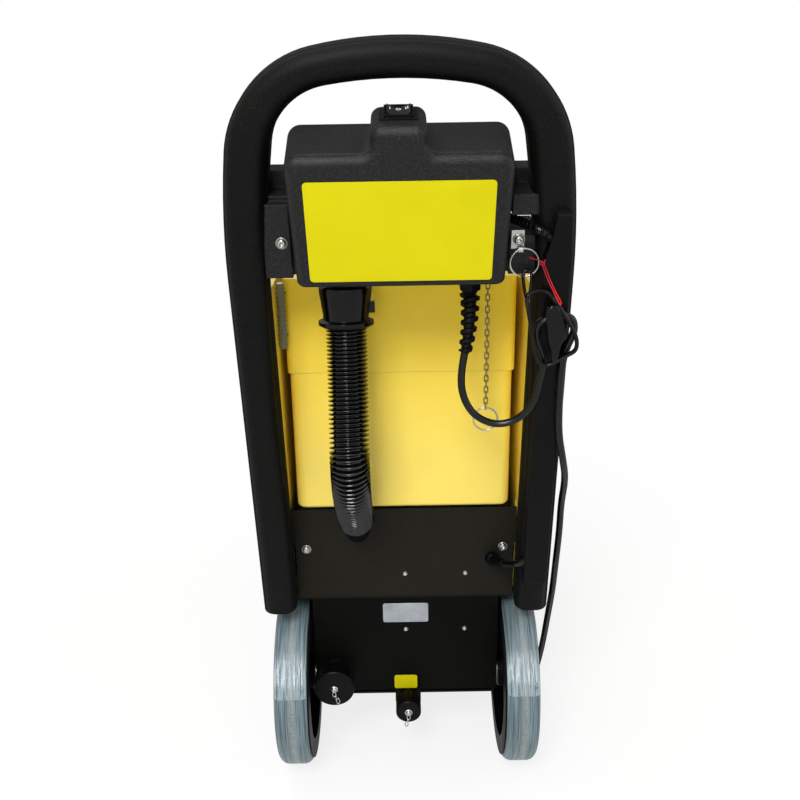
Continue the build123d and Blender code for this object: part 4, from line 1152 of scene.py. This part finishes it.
@dataclass
class CordHook(SubAssembly):
    """Cord hook on the split ring: rounded frame, stem with its eye, tongue, and the tied red thread."""

    front_w: float = 55.6
    back_w: float = 48.6
    frame_half: float = 2.3
    eye_half: float = 1.7
    bar_extra: float = 0.8
    thread_radius: float = 0.0006
    thread_fine: int = 10
    knot_steps: int = 120
    knot_turns: int = 8
    knot_size: Point = (0.75, 0.75, 0.7)
    knot_at: Point = (148.8, 505.2, 39.6)

    FRAME: ClassVar[tuple] = (
        (132.5, 470.5, 44.9), (135.7, 452.8, 52), (140.1, 431.4, 52), (145.0, 407.2, 52), (149.5, 394.0, 52),
        (157.7, 389.7, 52), (168.3, 395.5, 52), (180.9, 403.1, 52), (189.0, 408.0, 52), (190.0, 418.1, 52),
        (185.9, 430.6, 52), (177.8, 445.0, 52), (168.3, 459.2, 51), (160.9, 469.4, 46.3), (155.1, 474.4, 42),
        (147.7, 475.6, 41), (139.5, 473.8, 42.5),
    )
    EYE: ClassVar[tuple] = (
        (130.2, 487.2, 26.3), (130.9, 479.8, 34.3), (131.9, 470.5, 44.0), (133.8, 467.0, 46.7),
        (136.1, 469.6, 45.3), (137.8, 476.6, 37.8), (140.0, 485.4, 28.1), (139.2, 491.0, 24),
        (133.4, 492.5, 24),
    )
    TONGUE: ClassVar[tuple] = (
        (154.3, 459.0), (158.0, 462.6), (164.0, 462.8), (169.0, 457.4), (174.2, 440.4), (178.8, 425.6),
        (175.0, 421.4), (171.5, 413.0), (170.5, 397.0), (163.0, 393.5), (162.0, 411.0), (158.6, 417.0),
        (156.0, 436.0), (153.6, 450.1),
    )
    # Way in from a face of the tongue, and the outline's size there.
    ROUNDED: ClassVar[tuple] = ((0.2, 0.84), (0.8, 0.95), (2.0, 1.0))
    THREAD: ClassVar[tuple] = (
        (136.9, 506.4, 25), (140.2, 505.6, 29), (144.3, 507.5, 34), (147.6, 506.1, 38), (150, 499.8, 40.4),
        (153.1, 492, 42.2), (157, 483.9, 47), (160.7, 477.3, 54), (164.6, 470.1, 56.5), (167.6, 464.6, 57.4),
        (168.6, 467.8, 57.4), (163, 477.2, 55.5), (158.6, 485.2, 48.5), (154.7, 494.2, 43),
        (151.9, 500.9, 40.6), (149.7, 505.6, 40.2), (151.4, 509.6, 40.4),
    )

    def build(self) -> None:
        """Frame and eye as oval bars on closed lines, tongue as a plate with rounded edges."""
        shell = Shell()
        for outline, wide in ((self.FRAME, self.frame_half), (self.EYE, self.eye_half)):
            path = lean_at(smooth_loop(np.asarray(outline, float)))
            bar = loop_tube(path, wide * MM, (wide + self.bar_extra) * MM, lean_behind())
            shell.grid(bar, wrap_rows=True)
        line = smooth_loop(np.asarray(self.TONGUE, float))
        centre = line.mean(axis=0)
        layers = [(self.back_w + inset, size) for inset, size in self.ROUNDED]
        layers += [(self.front_w - inset, size) for inset, size in self.ROUNDED[::-1]]
        plate = [lean_at(np.column_stack((centre + (line - centre) * size, np.full(len(line), w))))
                 for w, size in layers]
        shell.grid(np.stack(plate))
        hook = shell.make("cord_hook_rounded")
        self.settle(hook, Body.MACHINE, "gloss_black", "black_gloss", ("cord_hook",))
        self.thread()

    def thread(self) -> None:
        """Red thread knotted on the split ring, doubled down to the tongue of the hook.

        The knot is a trefoil: (2 + cos 3t) x (cos 2t, sin 2t), with sin 3t as its third part.
        """
        route = lean_at(self.THREAD)
        radius = self.thread_radius
        strand = spline_curve("tied_thread", route, radius, self.thread_fine)
        self.settle(strand, Body.MACHINE, "thread_red", "label_yellow")
        t = full_turn(self.knot_steps)
        reach = 2 + np.cos(3 * t)
        spin = np.column_stack((reach * np.cos(2 * t), reach * np.sin(2 * t), np.sin(3 * t)))
        line = lean_at(np.array(self.knot_at) + spin * np.array(self.knot_size))
        knot = loop_tube(line, radius, radius, (0.3, 1.0, 0.2), self.knot_turns)
        tied = self.mesh("thread_knot", knot, Body.MACHINE, "thread_red", "label_yellow", wrap_rows=True)
        length = float(length_run(spline_line(route))[-1])


@dataclass
class Rocker(SubAssembly):
    """White marks on the dished face of the rocker switch: one bar, a ring and two bars."""

    tilt: float = math.radians(3.5)
    seat: Pair = (657.61, 23.5)
    dish_radius: float = 24.29
    dish_low: float = 3.6
    row_y: float = 4.6
    proud: float = 0.15
    sunk: float = -0.3
    bar_steps: int = 8
    ring_steps: int = 40
    # Half width and half length of a bar; outer radius, inner radius and stretch of the ring.
    bar: Pair = (0.45, 3.6)
    ring: Point = (2.6, 1.8, 1.3)

    BARS: ClassVar[tuple] = (-8.4, 7.3, 9.3)

    def on_dish(self, across: Array, along: Array, lift: Array) -> Array:
        """Points on the rocker's dish: height = low + radius - sqrt(radius^2 - across^2) + lift.

        Args:
            across: Places across the rocker in millimetres.
            along: Places along it.
            lift: Heights over the dish.
        Returns:
            Points in metres.
        """
        height = self.dish_low + self.dish_radius - np.sqrt(self.dish_radius**2 - across**2) + lift
        up = math.cos(self.tilt) * height + math.sin(self.tilt) * along
        behind = math.sin(self.tilt) * height - math.cos(self.tilt) * along
        parts = np.broadcast_arrays(across, self.seat[0] + up, self.seat[1] + behind)
        return lean_at(np.stack(parts, axis=-1))

    def build(self) -> None:
        """Each mark is a thin ribbon with a closed rectangular section on the dish."""
        shell = Shell()
        lift = np.array((self.sunk, self.proud, self.proud, self.sunk))
        wide, long = self.bar
        along = np.linspace(-long, long, self.bar_steps)[:, None] + self.row_y
        for x in self.BARS:
            across = np.array((-wide, -wide, wide, wide)) + x
            shell.grid(self.on_dish(across, along, lift))
        outer, inner, tall = self.ring
        reach = np.array((outer, outer, inner, inner))
        angle = full_turn(self.ring_steps)[:, None]
        along = np.sin(angle) * reach * tall + self.row_y
        shell.grid(self.on_dish(np.cos(angle) * reach, along, lift), wrap_rows=True)
        marks = shell.make("rocker_marks")
        marks.data.polygons.foreach_set("use_smooth", np.zeros(len(marks.data.polygons), bool))
        self.settle(marks, Body.ROCKER, "mark_white", "float_white")


@dataclass
class DrainCap(SubAssembly):
    """Eye screw and the bit of chain on one drain cap."""

    name: str
    body: Body
    centre: Point
    lean: float
    # Half length and half width.
    link: Pair = (4.1, 2.1)
    wire: float = 0.75
    per_link: int = 28
    wire_turns: int = 8

    # Share of the lean, z and y of each link, and 1 where it is seen edge on.
    LINKS: ClassVar[tuple] = ((0.0, -6.4, -2.2, 0), (0.5, -12.2, -2.4, 1), (1.0, -18.0, -2.2, 0))
    # Radius and height of the washer and the domed head.
    HEAD: ClassVar[tuple] = (
        (0.1, -0.5), (5.4, -0.5), (5.4, 0.9), (5.0, 1.3), (3.9, 1.4), (3.8, 2.6), (3.3, 3.7),
        (2.2, 4.2), (1.3, 4.2), (1.1, 3.2), (0.1, 3.1),
    )

    def build(self) -> None:
        """Washer and domed head turned about the cap's axis, links as oval rings hanging from them."""
        shell = Shell()
        centre = axle_at(self.centre)
        shell.grid(turned(np.array(self.HEAD) * MM, centre, (0.0, -1.0, 0.0)))
        angle = full_turn(self.per_link)
        long, wide = self.link
        wire = self.wire * MM
        for share, z, y, edge_on in self.LINKS:
            ring = np.zeros((self.per_link, 3))
            ring[:, 2] = long * np.cos(angle)
            ring[:, 1 if edge_on else 0] = wide * np.sin(angle)
            line = centre + (ring + np.array((self.lean * share, y, z))) * MM
            normal = (1.0, 0.0, 0.0) if edge_on else (0.0, 1.0, 0.0)
            shell.grid(loop_tube(line, wire, wire, normal, self.wire_turns), wrap_rows=True)
        self.settle(shell.make(self.name), self.body, "steel", "steel")


@dataclass
class Screws(SubAssembly):
    """Screws of the box's ears, the panel and the pump: washer and button head with a socket."""

    turns: int = 32

    # Radius and height of the head, radius and thickness of the washer.
    EAR: ClassVar[tuple] = (5.0, 3.2, 6.6, 1.4)
    LARGE: ClassVar[tuple] = (4.6, 3.0, 6.4, 1.2)
    SMALL: ClassVar[tuple] = (2.6, 1.8, 3.2, 0.5)
    LEANING: ClassVar[tuple] = ((-125.5, 524.0, 18.0), (125.5, 524.0, 18.0))
    UPRIGHT: ClassVar[tuple] = (
        ((-130.5, -32.0, 345.0), LARGE), ((130.5, -32.0, 345.0), LARGE),
        ((0.0, -32.0, 305.0), SMALL), ((81.0, -32.0, 305.0), SMALL),
        ((0.0, -28.0, 214.0), SMALL), ((81.0, -28.0, 214.0), SMALL),
    )

    def profile(self, head: float, tall: float, washer: float, thick: float) -> Array:
        """Section from the axis below the washer, over its rim and the head, down into the socket.

        Args:
            head: Radius of the head in millimetres.
            tall: Height of the head.
            washer: Radius of the washer.
            thick: Thickness of the washer.
        Returns:
            Rows of radius and height in metres.
        """
        top = thick + tall
        return MM * np.array((
            (0.1, -0.4), (washer - 0.2, -0.4), (washer, 0.0), (washer, thick * 0.6), (washer - 0.35, thick),
            (head + 0.75, thick), (head + 0.55, thick * 0.2), (head + 0.05, thick * 0.2), (head, thick * 0.6),
            (head, thick + tall * 0.4), (head * 0.93, thick + tall * 0.72), (head * 0.78, top - tall * 0.08),
            (head * 0.62, top), (head * 0.52, top), (head * 0.47, top - tall * 0.08),
            (head * 0.46, top - tall * 0.6), (0.1, top - tall * 0.66),
        ))

    def build(self) -> None:
        """Each screw is its section turned about its own axis."""
        shell = Shell()
        for spot in self.LEANING:
            shell.grid(turned(self.profile(*self.EAR), lean_at(spot), lean_behind(), self.turns))
        for spot, sizes in self.UPRIGHT:
            shell.grid(turned(self.profile(*sizes), axle_at(spot), (0.0, -1.0, 0.0), self.turns))
        self.settle(shell.make("socket_screws"), Body.MACHINE, "steel", "steel", ("screws",))


@dataclass
class Wheel(SubAssembly):
    """Tyre of one wheel and the clear film left on its tread."""

    side: int
    body: Body
    node: str
    finish: str
    film: str
    middle: float = 154.5
    radius: float = 125.0
    half: float = 22.0
    turns: int = 160
    bore: float = 100.0
    flat_half: float = 8.0
    fall: float = 7.0
    groove_pitch: float = 7.3
    groove_deep: float = 0.25
    groove_from: float = 0.86
    tread_steps: int = 61
    # Degrees up from straight back; steps round and across.
    film_ends: Pair = (20.0, 188.0)
    film_steps: tuple[int, int] = (120, 70)
    film_half: float = 21.2
    film_gap: float = 0.85
    film_thick: float = 0.12
    # Height, radians to the millimetre across, and what the turn adds to them.
    broad_ripple: tuple[float, float, float, float] = (0.30, 1.55, 0.5, 3.0)
    fine_ripple: Point = (0.18, 3.7, 2.0)

    def ringwise(self, across: Array, radius: Array, angle: Array) -> Array:
        """Points about the axle: y = -radius x cosine of the turn, z = axle + radius x sine.

        Args:
            across: Places across the tyre in millimetres.
            radius: Radius at each place.
            angle: Turns in radians, 0 straight back.
        Returns:
            Points in metres.
        """
        y = -radius * np.cos(angle)
        z = AXLE_Z + radius * np.sin(angle)
        x = np.broadcast_to(self.side * self.middle + across, y.shape)
        return axle_at(np.stack((x, y, z), axis=-1))

    def tread_radius(self, across: Array) -> Array:
        """Crowned tread: full radius less a cubic fall to the shoulders, with shallow grooves.

        Args:
            across: Places across the tyre in millimetres.
        Returns:
            Radius at each place in millimetres.
        """
        past = np.clip((np.abs(across) - self.flat_half) / (self.half - self.flat_half), 0.0, 1.0)
        wave = np.cos(across * 2 * np.pi / self.groove_pitch) - self.groove_from
        groove = np.clip(wave, 0.0, 1.0) / (1 - self.groove_from)
        return self.radius - self.fall * past**3.0 - self.groove_deep * groove

    def build(self) -> None:
        """Tyre as a closed ring of its section, film as a rippled sheet over the top of the tread.

        Film = tread radius + gap + two sine ripples of width and turn, less its thickness on the inside.
        """
        tread = np.linspace(-self.half, self.half, self.tread_steps)
        across = np.concatenate((tread, (self.half, -self.half)))
        radius = np.concatenate((self.tread_radius(tread), (self.bore, self.bore)))
        angle = full_turn(self.turns)
        grid = self.ringwise(across[None], np.repeat(radius[None], self.turns, 0), angle[:, None])
        self.mesh(self.node + "_grooved", grid, self.body, self.finish, "tyre_grey", (self.node,), True)
        steps_round, steps_across = self.film_steps
        angle = np.radians(np.linspace(*self.film_ends, steps_round))[:, None]
        across = np.linspace(-self.film_half, self.film_half, steps_across)[None]
        tall, rate, sway, sway_rate = self.broad_ripple
        ripple = tall * np.sin(across * rate + sway * np.sin(angle * sway_rate))
        tall, rate, slant = self.fine_ripple
        ripple = ripple + tall * np.sin(across * rate + angle * slant)
        radius = self.tread_radius(across) + self.film_gap + ripple
        outer = self.ringwise(across, radius, angle)
        inner = self.ringwise(across, radius - self.film_thick, angle)
        sheet = np.concatenate((outer, inner[:, ::-1]), axis=1)
        self.mesh(self.node + "_film", sheet, self.body, self.film, "clear_tube")


@dataclass
class BrushTufts(SubAssembly):
    """Bristle tufts on the brush roller: splayed filaments on a sleeve."""

    centre_y: float = 424.0
    centre_z: float = 52.0
    rows: int = 12
    steps: int = 28
    strands: int = 7
    seed: int = 7
    first_x: float = -173.0
    step_x: float = 11.7
    row_turn: float = 30.0
    step_turn: float = 2.2
    root: float = 24.0
    tips: Pair = (47.5, 49.6)
    # Half thickness at the root and what is lost to the tip; spread along the roller and in turn.
    thick: Pair = (0.62, 0.22)
    scatter: Pair = (1.4, 0.035)
    splay: Pair = (1.7, 0.055)

    # Radius and place along the roller.
    SLEEVE: ClassVar[tuple] = ((22.0, -180.0), (25.0, -179.0), (25.0, 149.0), (22.0, 150.0))

    def build(self) -> None:
        """Sleeve turned about the roller; each filament a thin tapering square rod pointing outwards."""
        rng = np.random.default_rng(self.seed)
        off_x, off_turn = self.scatter
        splay_x, splay_turn = self.splay
        count = self.rows * self.steps * self.strands
        row = np.repeat(np.arange(self.rows), self.steps * self.strands)
        step = np.tile(np.repeat(np.arange(self.steps), self.strands), self.rows)
        base_x = self.first_x + self.step_x * step + rng.uniform(-off_x, off_x, count)
        base_turn = np.radians(self.row_turn * row + self.step_turn * step)
        base_turn = base_turn + rng.uniform(-off_turn, off_turn, count)
        tip_x = base_x + rng.normal(0.0, splay_x, count)
        tip_turn = base_turn + rng.normal(0.0, splay_turn, count)
        tip = rng.uniform(*self.tips, count)
        share = np.array((0.0, 0.5, 1.0))[None, :]
        x = base_x[:, None] + (tip_x - base_x)[:, None] * share
        turn = base_turn[:, None] + (tip_turn - base_turn)[:, None] * share
        reach = self.root + (tip - self.root)[:, None] * share
        centre = np.stack((x, -np.sin(turn) * reach, np.cos(turn) * reach), axis=-1)
        size = (self.thick[0] - self.thick[1] * share)[..., None, None]
        corner = np.array(((-1, -1), (1, -1), (1, 1), (-1, 1)), float)[None, None]
        sideways = np.stack((np.zeros_like(turn), -np.cos(turn), -np.sin(turn)), axis=-1)[:, :, None]
        spread = corner[..., :1] * np.array((1.0, 0.0, 0.0)) + corner[..., 1:] * sideways
        rods = centre[:, :, None] + size * spread
        shell = Shell()
        middle = np.array((0.0, self.centre_y, self.centre_z))
        shell.grids(axle_at(rods + middle))
        sleeve = turned(np.array(self.SLEEVE) * MM, axle_at(middle), (1.0, 0.0, 0.0))
        shell.grid(sleeve, capped=False)
        self.settle(shell.make("brush_tufts"), Body.BRUSH, "bristle_blue", "bristle", ("brush_bristles",))


@dataclass
class CadDress(SubAssembly):
    """Finishes of the CAD nodes that show as they are."""

    PLAN: ClassVar[dict[str, tuple[str, ...]]] = {
        "handle_grain": ("handle_frame",),
        "box_grain": ("control_box_base", "control_box_cover"),
        "gloss_black": ("hose_cuff", "brush_motor"),
        "rocker_black": ("switch_rocker",),
        "rim_black": ("rim_left", "rim_right"),
        "satin_black": (
            "switch_body", "large_drain_spout", "large_drain_cap", "small_drain_spout", "small_drain_cap",
            "filler_cap", "tank_lid", "hose_port", "suction_pipe", "vac_housing",
            "solution_pump", "spray_bar", "cable_duct",
        ),
        # Rear panel carries painted light and shade at its joggle.
        "panel_paint_and_shade": ("rear_panel",),
        "sheet_black": ("chassis_tray", "tank_deck", "belt_guard", "brush_housing", "front_hood"),
        "tank_yellow": ("body_shell", "filler_neck"),
        # Tanks carry a painted sheen low down.
        "yellow_painted_sheen": ("recovery_tank", "solution_tank"),
        "label_yellow": ("yellow_labels",),
        "plate_silver": ("rating_plate",),
        "gasket_rubber": ("lid_gasket",),
        "belt_rubber": ("drive_belt",),
        "float_white": ("float_ring",),
        "clear_tube": ("sight_tube",),
        "steel": ("axle", "axle_hardware", "hook_ring", "chain_ring"),
        "chain_dull": ("hang_chain",),
        "aluminium_cast": ("vac_fan", "motor_pulley", "brush_roller", "suction_shoe"),
        "brass": ("brush_bearings",),
        "plug_black": ("mains_plug",),
    }

    def build(self) -> None:
        """Gives each node its finish."""
        for finish, nodes in self.PLAN.items():
            for node in nodes:
                self.finishes.dress(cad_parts[node], finish)
            LOG.info("%s dresses %d nodes", finish, len(nodes))


@dataclass(frozen=True)
class Lamp:
    """One soft area lamp."""

    name: str
    place: Point
    target: Point
    size: Pair
    power: float

    def build(self) -> None:
        """Lamp at its place, turned to its target."""
        data = bpy.data.lights.new(self.name, "AREA")
        data.shape = "RECTANGLE"
        data.size, data.size_y = self.size
        data.energy = self.power
        lamp = bpy.data.objects.new(self.name, data)
        lamp.location = self.place
        aim = Vector(self.target) - Vector(self.place)
        lamp.rotation_euler = aim.to_track_quat("-Z", "Y").to_euler()
        bpy.context.scene.collection.objects.link(lamp)


@dataclass
class Studio:
    """Camera of the photograph, pale floor, white surroundings and soft lamps."""

    place: Point = (-0.003, -1.3151, 0.9953)
    down: float = 21.5
    roll: float = -0.92
    lens: float = 43.2
    sensor: float = 36.0
    floor_half: float = 9.0
    floor_z: float = -0.0006
    floor_specks: float = 300.0
    floor_lift: float = 0.80
    floor_fade: Pair = (0.45, 1.1)
    fill: float = 0.42

    WHITE: ClassVar[tuple] = (1.0, 1.0, 1.0, 1.0)
    PALE: ClassVar[tuple] = ((0.90, 0.90, 0.90, 1.0), (0.94, 0.94, 0.94, 1.0))
    FAINT: ClassVar[tuple] = (0.22, 0.22, 0.22, 1.0)
    # Name, place, target, size, power.
    LAMPS: ClassVar[tuple[Lamp, ...]] = (
        Lamp("lamp_over", (-0.35, -0.75, 2.5), (0.0, -0.15, 0.5), (1.3, 0.8), 8.0),
        Lamp("lamp_key", (-0.45, -2.1, 2.3), (0.0, -0.25, 0.5), (0.8, 0.8), 40.0),
        Lamp("lamp_low", (-0.35, -3.0, 1.15), (0.0, -0.2, 0.4), (0.4, 0.4), 9.0),
        Lamp("lamp_side", (2.2, -0.9, 1.5), (0.0, -0.1, 0.5), (1.2, 1.6), 9.0),
        Lamp("lamp_front", (-0.6, 2.4, 2.0), (0.0, 0.1, 0.4), (1.8, 1.4), 16.0),
    )

    def camera(self) -> None:
        """Camera with the photograph's place, fall, roll and lens."""
        data = bpy.data.cameras.new("photo_camera")
        data.lens = self.lens
        data.sensor_width = self.sensor
        camera = bpy.data.objects.new("photo_camera", data)
        bpy.context.scene.collection.objects.link(camera)
        fall = Matrix.Rotation(math.radians(90.0 - self.down), 4, "X")
        roll = Matrix.Rotation(math.radians(self.roll), 4, "Z")
        camera.matrix_world = Matrix.Translation(self.place) @ (fall @ roll)
        bpy.context.scene.camera = camera

    def world(self) -> None:
        """White to the camera and to reflections, dimmer as a light."""
        sheet = NodeSheet("studio_world", world=True)
        bpy.context.scene.world = sheet.owner
        light, white = (sheet.add("ShaderNodeBackground", {"Color": self.WHITE, "Strength": strength})
                        for strength in (self.fill, 1.0))
        sheet.end(sheet.blend(sheet.seen(), light, white))

    def floor(self) -> None:
        """Pale floor that keeps the object's shadow and is lifted towards white for the camera."""
        half = self.floor_half
        mesh = bpy.data.meshes.new("studio_floor")
        corners = [(-half, -half, 0), (half, -half, 0), (half, half, 0), (-half, half, 0)]
        mesh.from_pydata(corners, [], [(0, 1, 2, 3)])
        floor = bpy.data.objects.new("studio_floor", mesh)
        floor.location.z = self.floor_z
        bpy.context.scene.collection.objects.link(floor)
        sheet = NodeSheet("studio_floor")
        speck = sheet.noise(sheet.place(), self.floor_specks)
        colour = sheet.mix(speck, *self.PALE)
        diffuse = sheet.add("ShaderNodeBsdfDiffuse", {"Color": colour})
        faint = sheet.add("ShaderNodeBsdfDiffuse", {"Color": self.FAINT})
        lift = sheet.add("ShaderNodeEmission", {"Color": self.WHITE, "Strength": self.floor_lift})
        near = sheet.add("ShaderNodeAddShader", {0: faint.outputs[0], 1: lift.outputs[0]})
        white = sheet.add("ShaderNodeEmission", {"Color": self.WHITE, "Strength": 1.0})
        reach = sheet.vector("LENGTH", sheet.place(), out="Value")
        shown = sheet.blend(sheet.span(reach, *self.floor_fade), near, white)
        sheet.end(sheet.blend(sheet.seen(), diffuse, shown))
        mesh.materials.append(sheet.owner)

    def build(self) -> None:
        """Camera first, then surroundings and lamps."""
        self.camera()
        self.world()
        self.floor()
        for lamp in self.LAMPS:
            lamp.build()
        bpy.context.scene.view_settings.view_transform = "Standard"
        LOG.info("studio with %d lamps", len(self.LAMPS))


def main() -> None:
    """Builds the studio and every sub-assembly."""
    logging.basicConfig(level=logging.INFO)
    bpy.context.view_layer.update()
    Studio().build()
    finishes = Finishes()
    assemblies = (
        CadDress(finishes),
        MainsLead(finishes),
        Gland(finishes),
        SuctionHose(finishes),
        Harness(finishes),
        CordHook(finishes),
        Rocker(finishes),
        Screws(finishes),
        DrainCap(finishes, "large_cap_eye", Body.LARGE_CAP, (-100.0, -65.0, 143.0), 5.0),
        DrainCap(finishes, "small_cap_eye", Body.SMALL_CAP, (2.0, -65.0, 102.0), -3.0),
        Wheel(finishes, -1, Body.WHEEL_LEFT, "tyre_left", "tyre_left_grey", "film_left"),
        Wheel(finishes, 1, Body.WHEEL_RIGHT, "tyre_right", "tyre_right_grey", "film_right"),
        BrushTufts(finishes),
    )
    for assembly in assemblies:
        assembly.build()


if __name__ == "__main__":
    main()
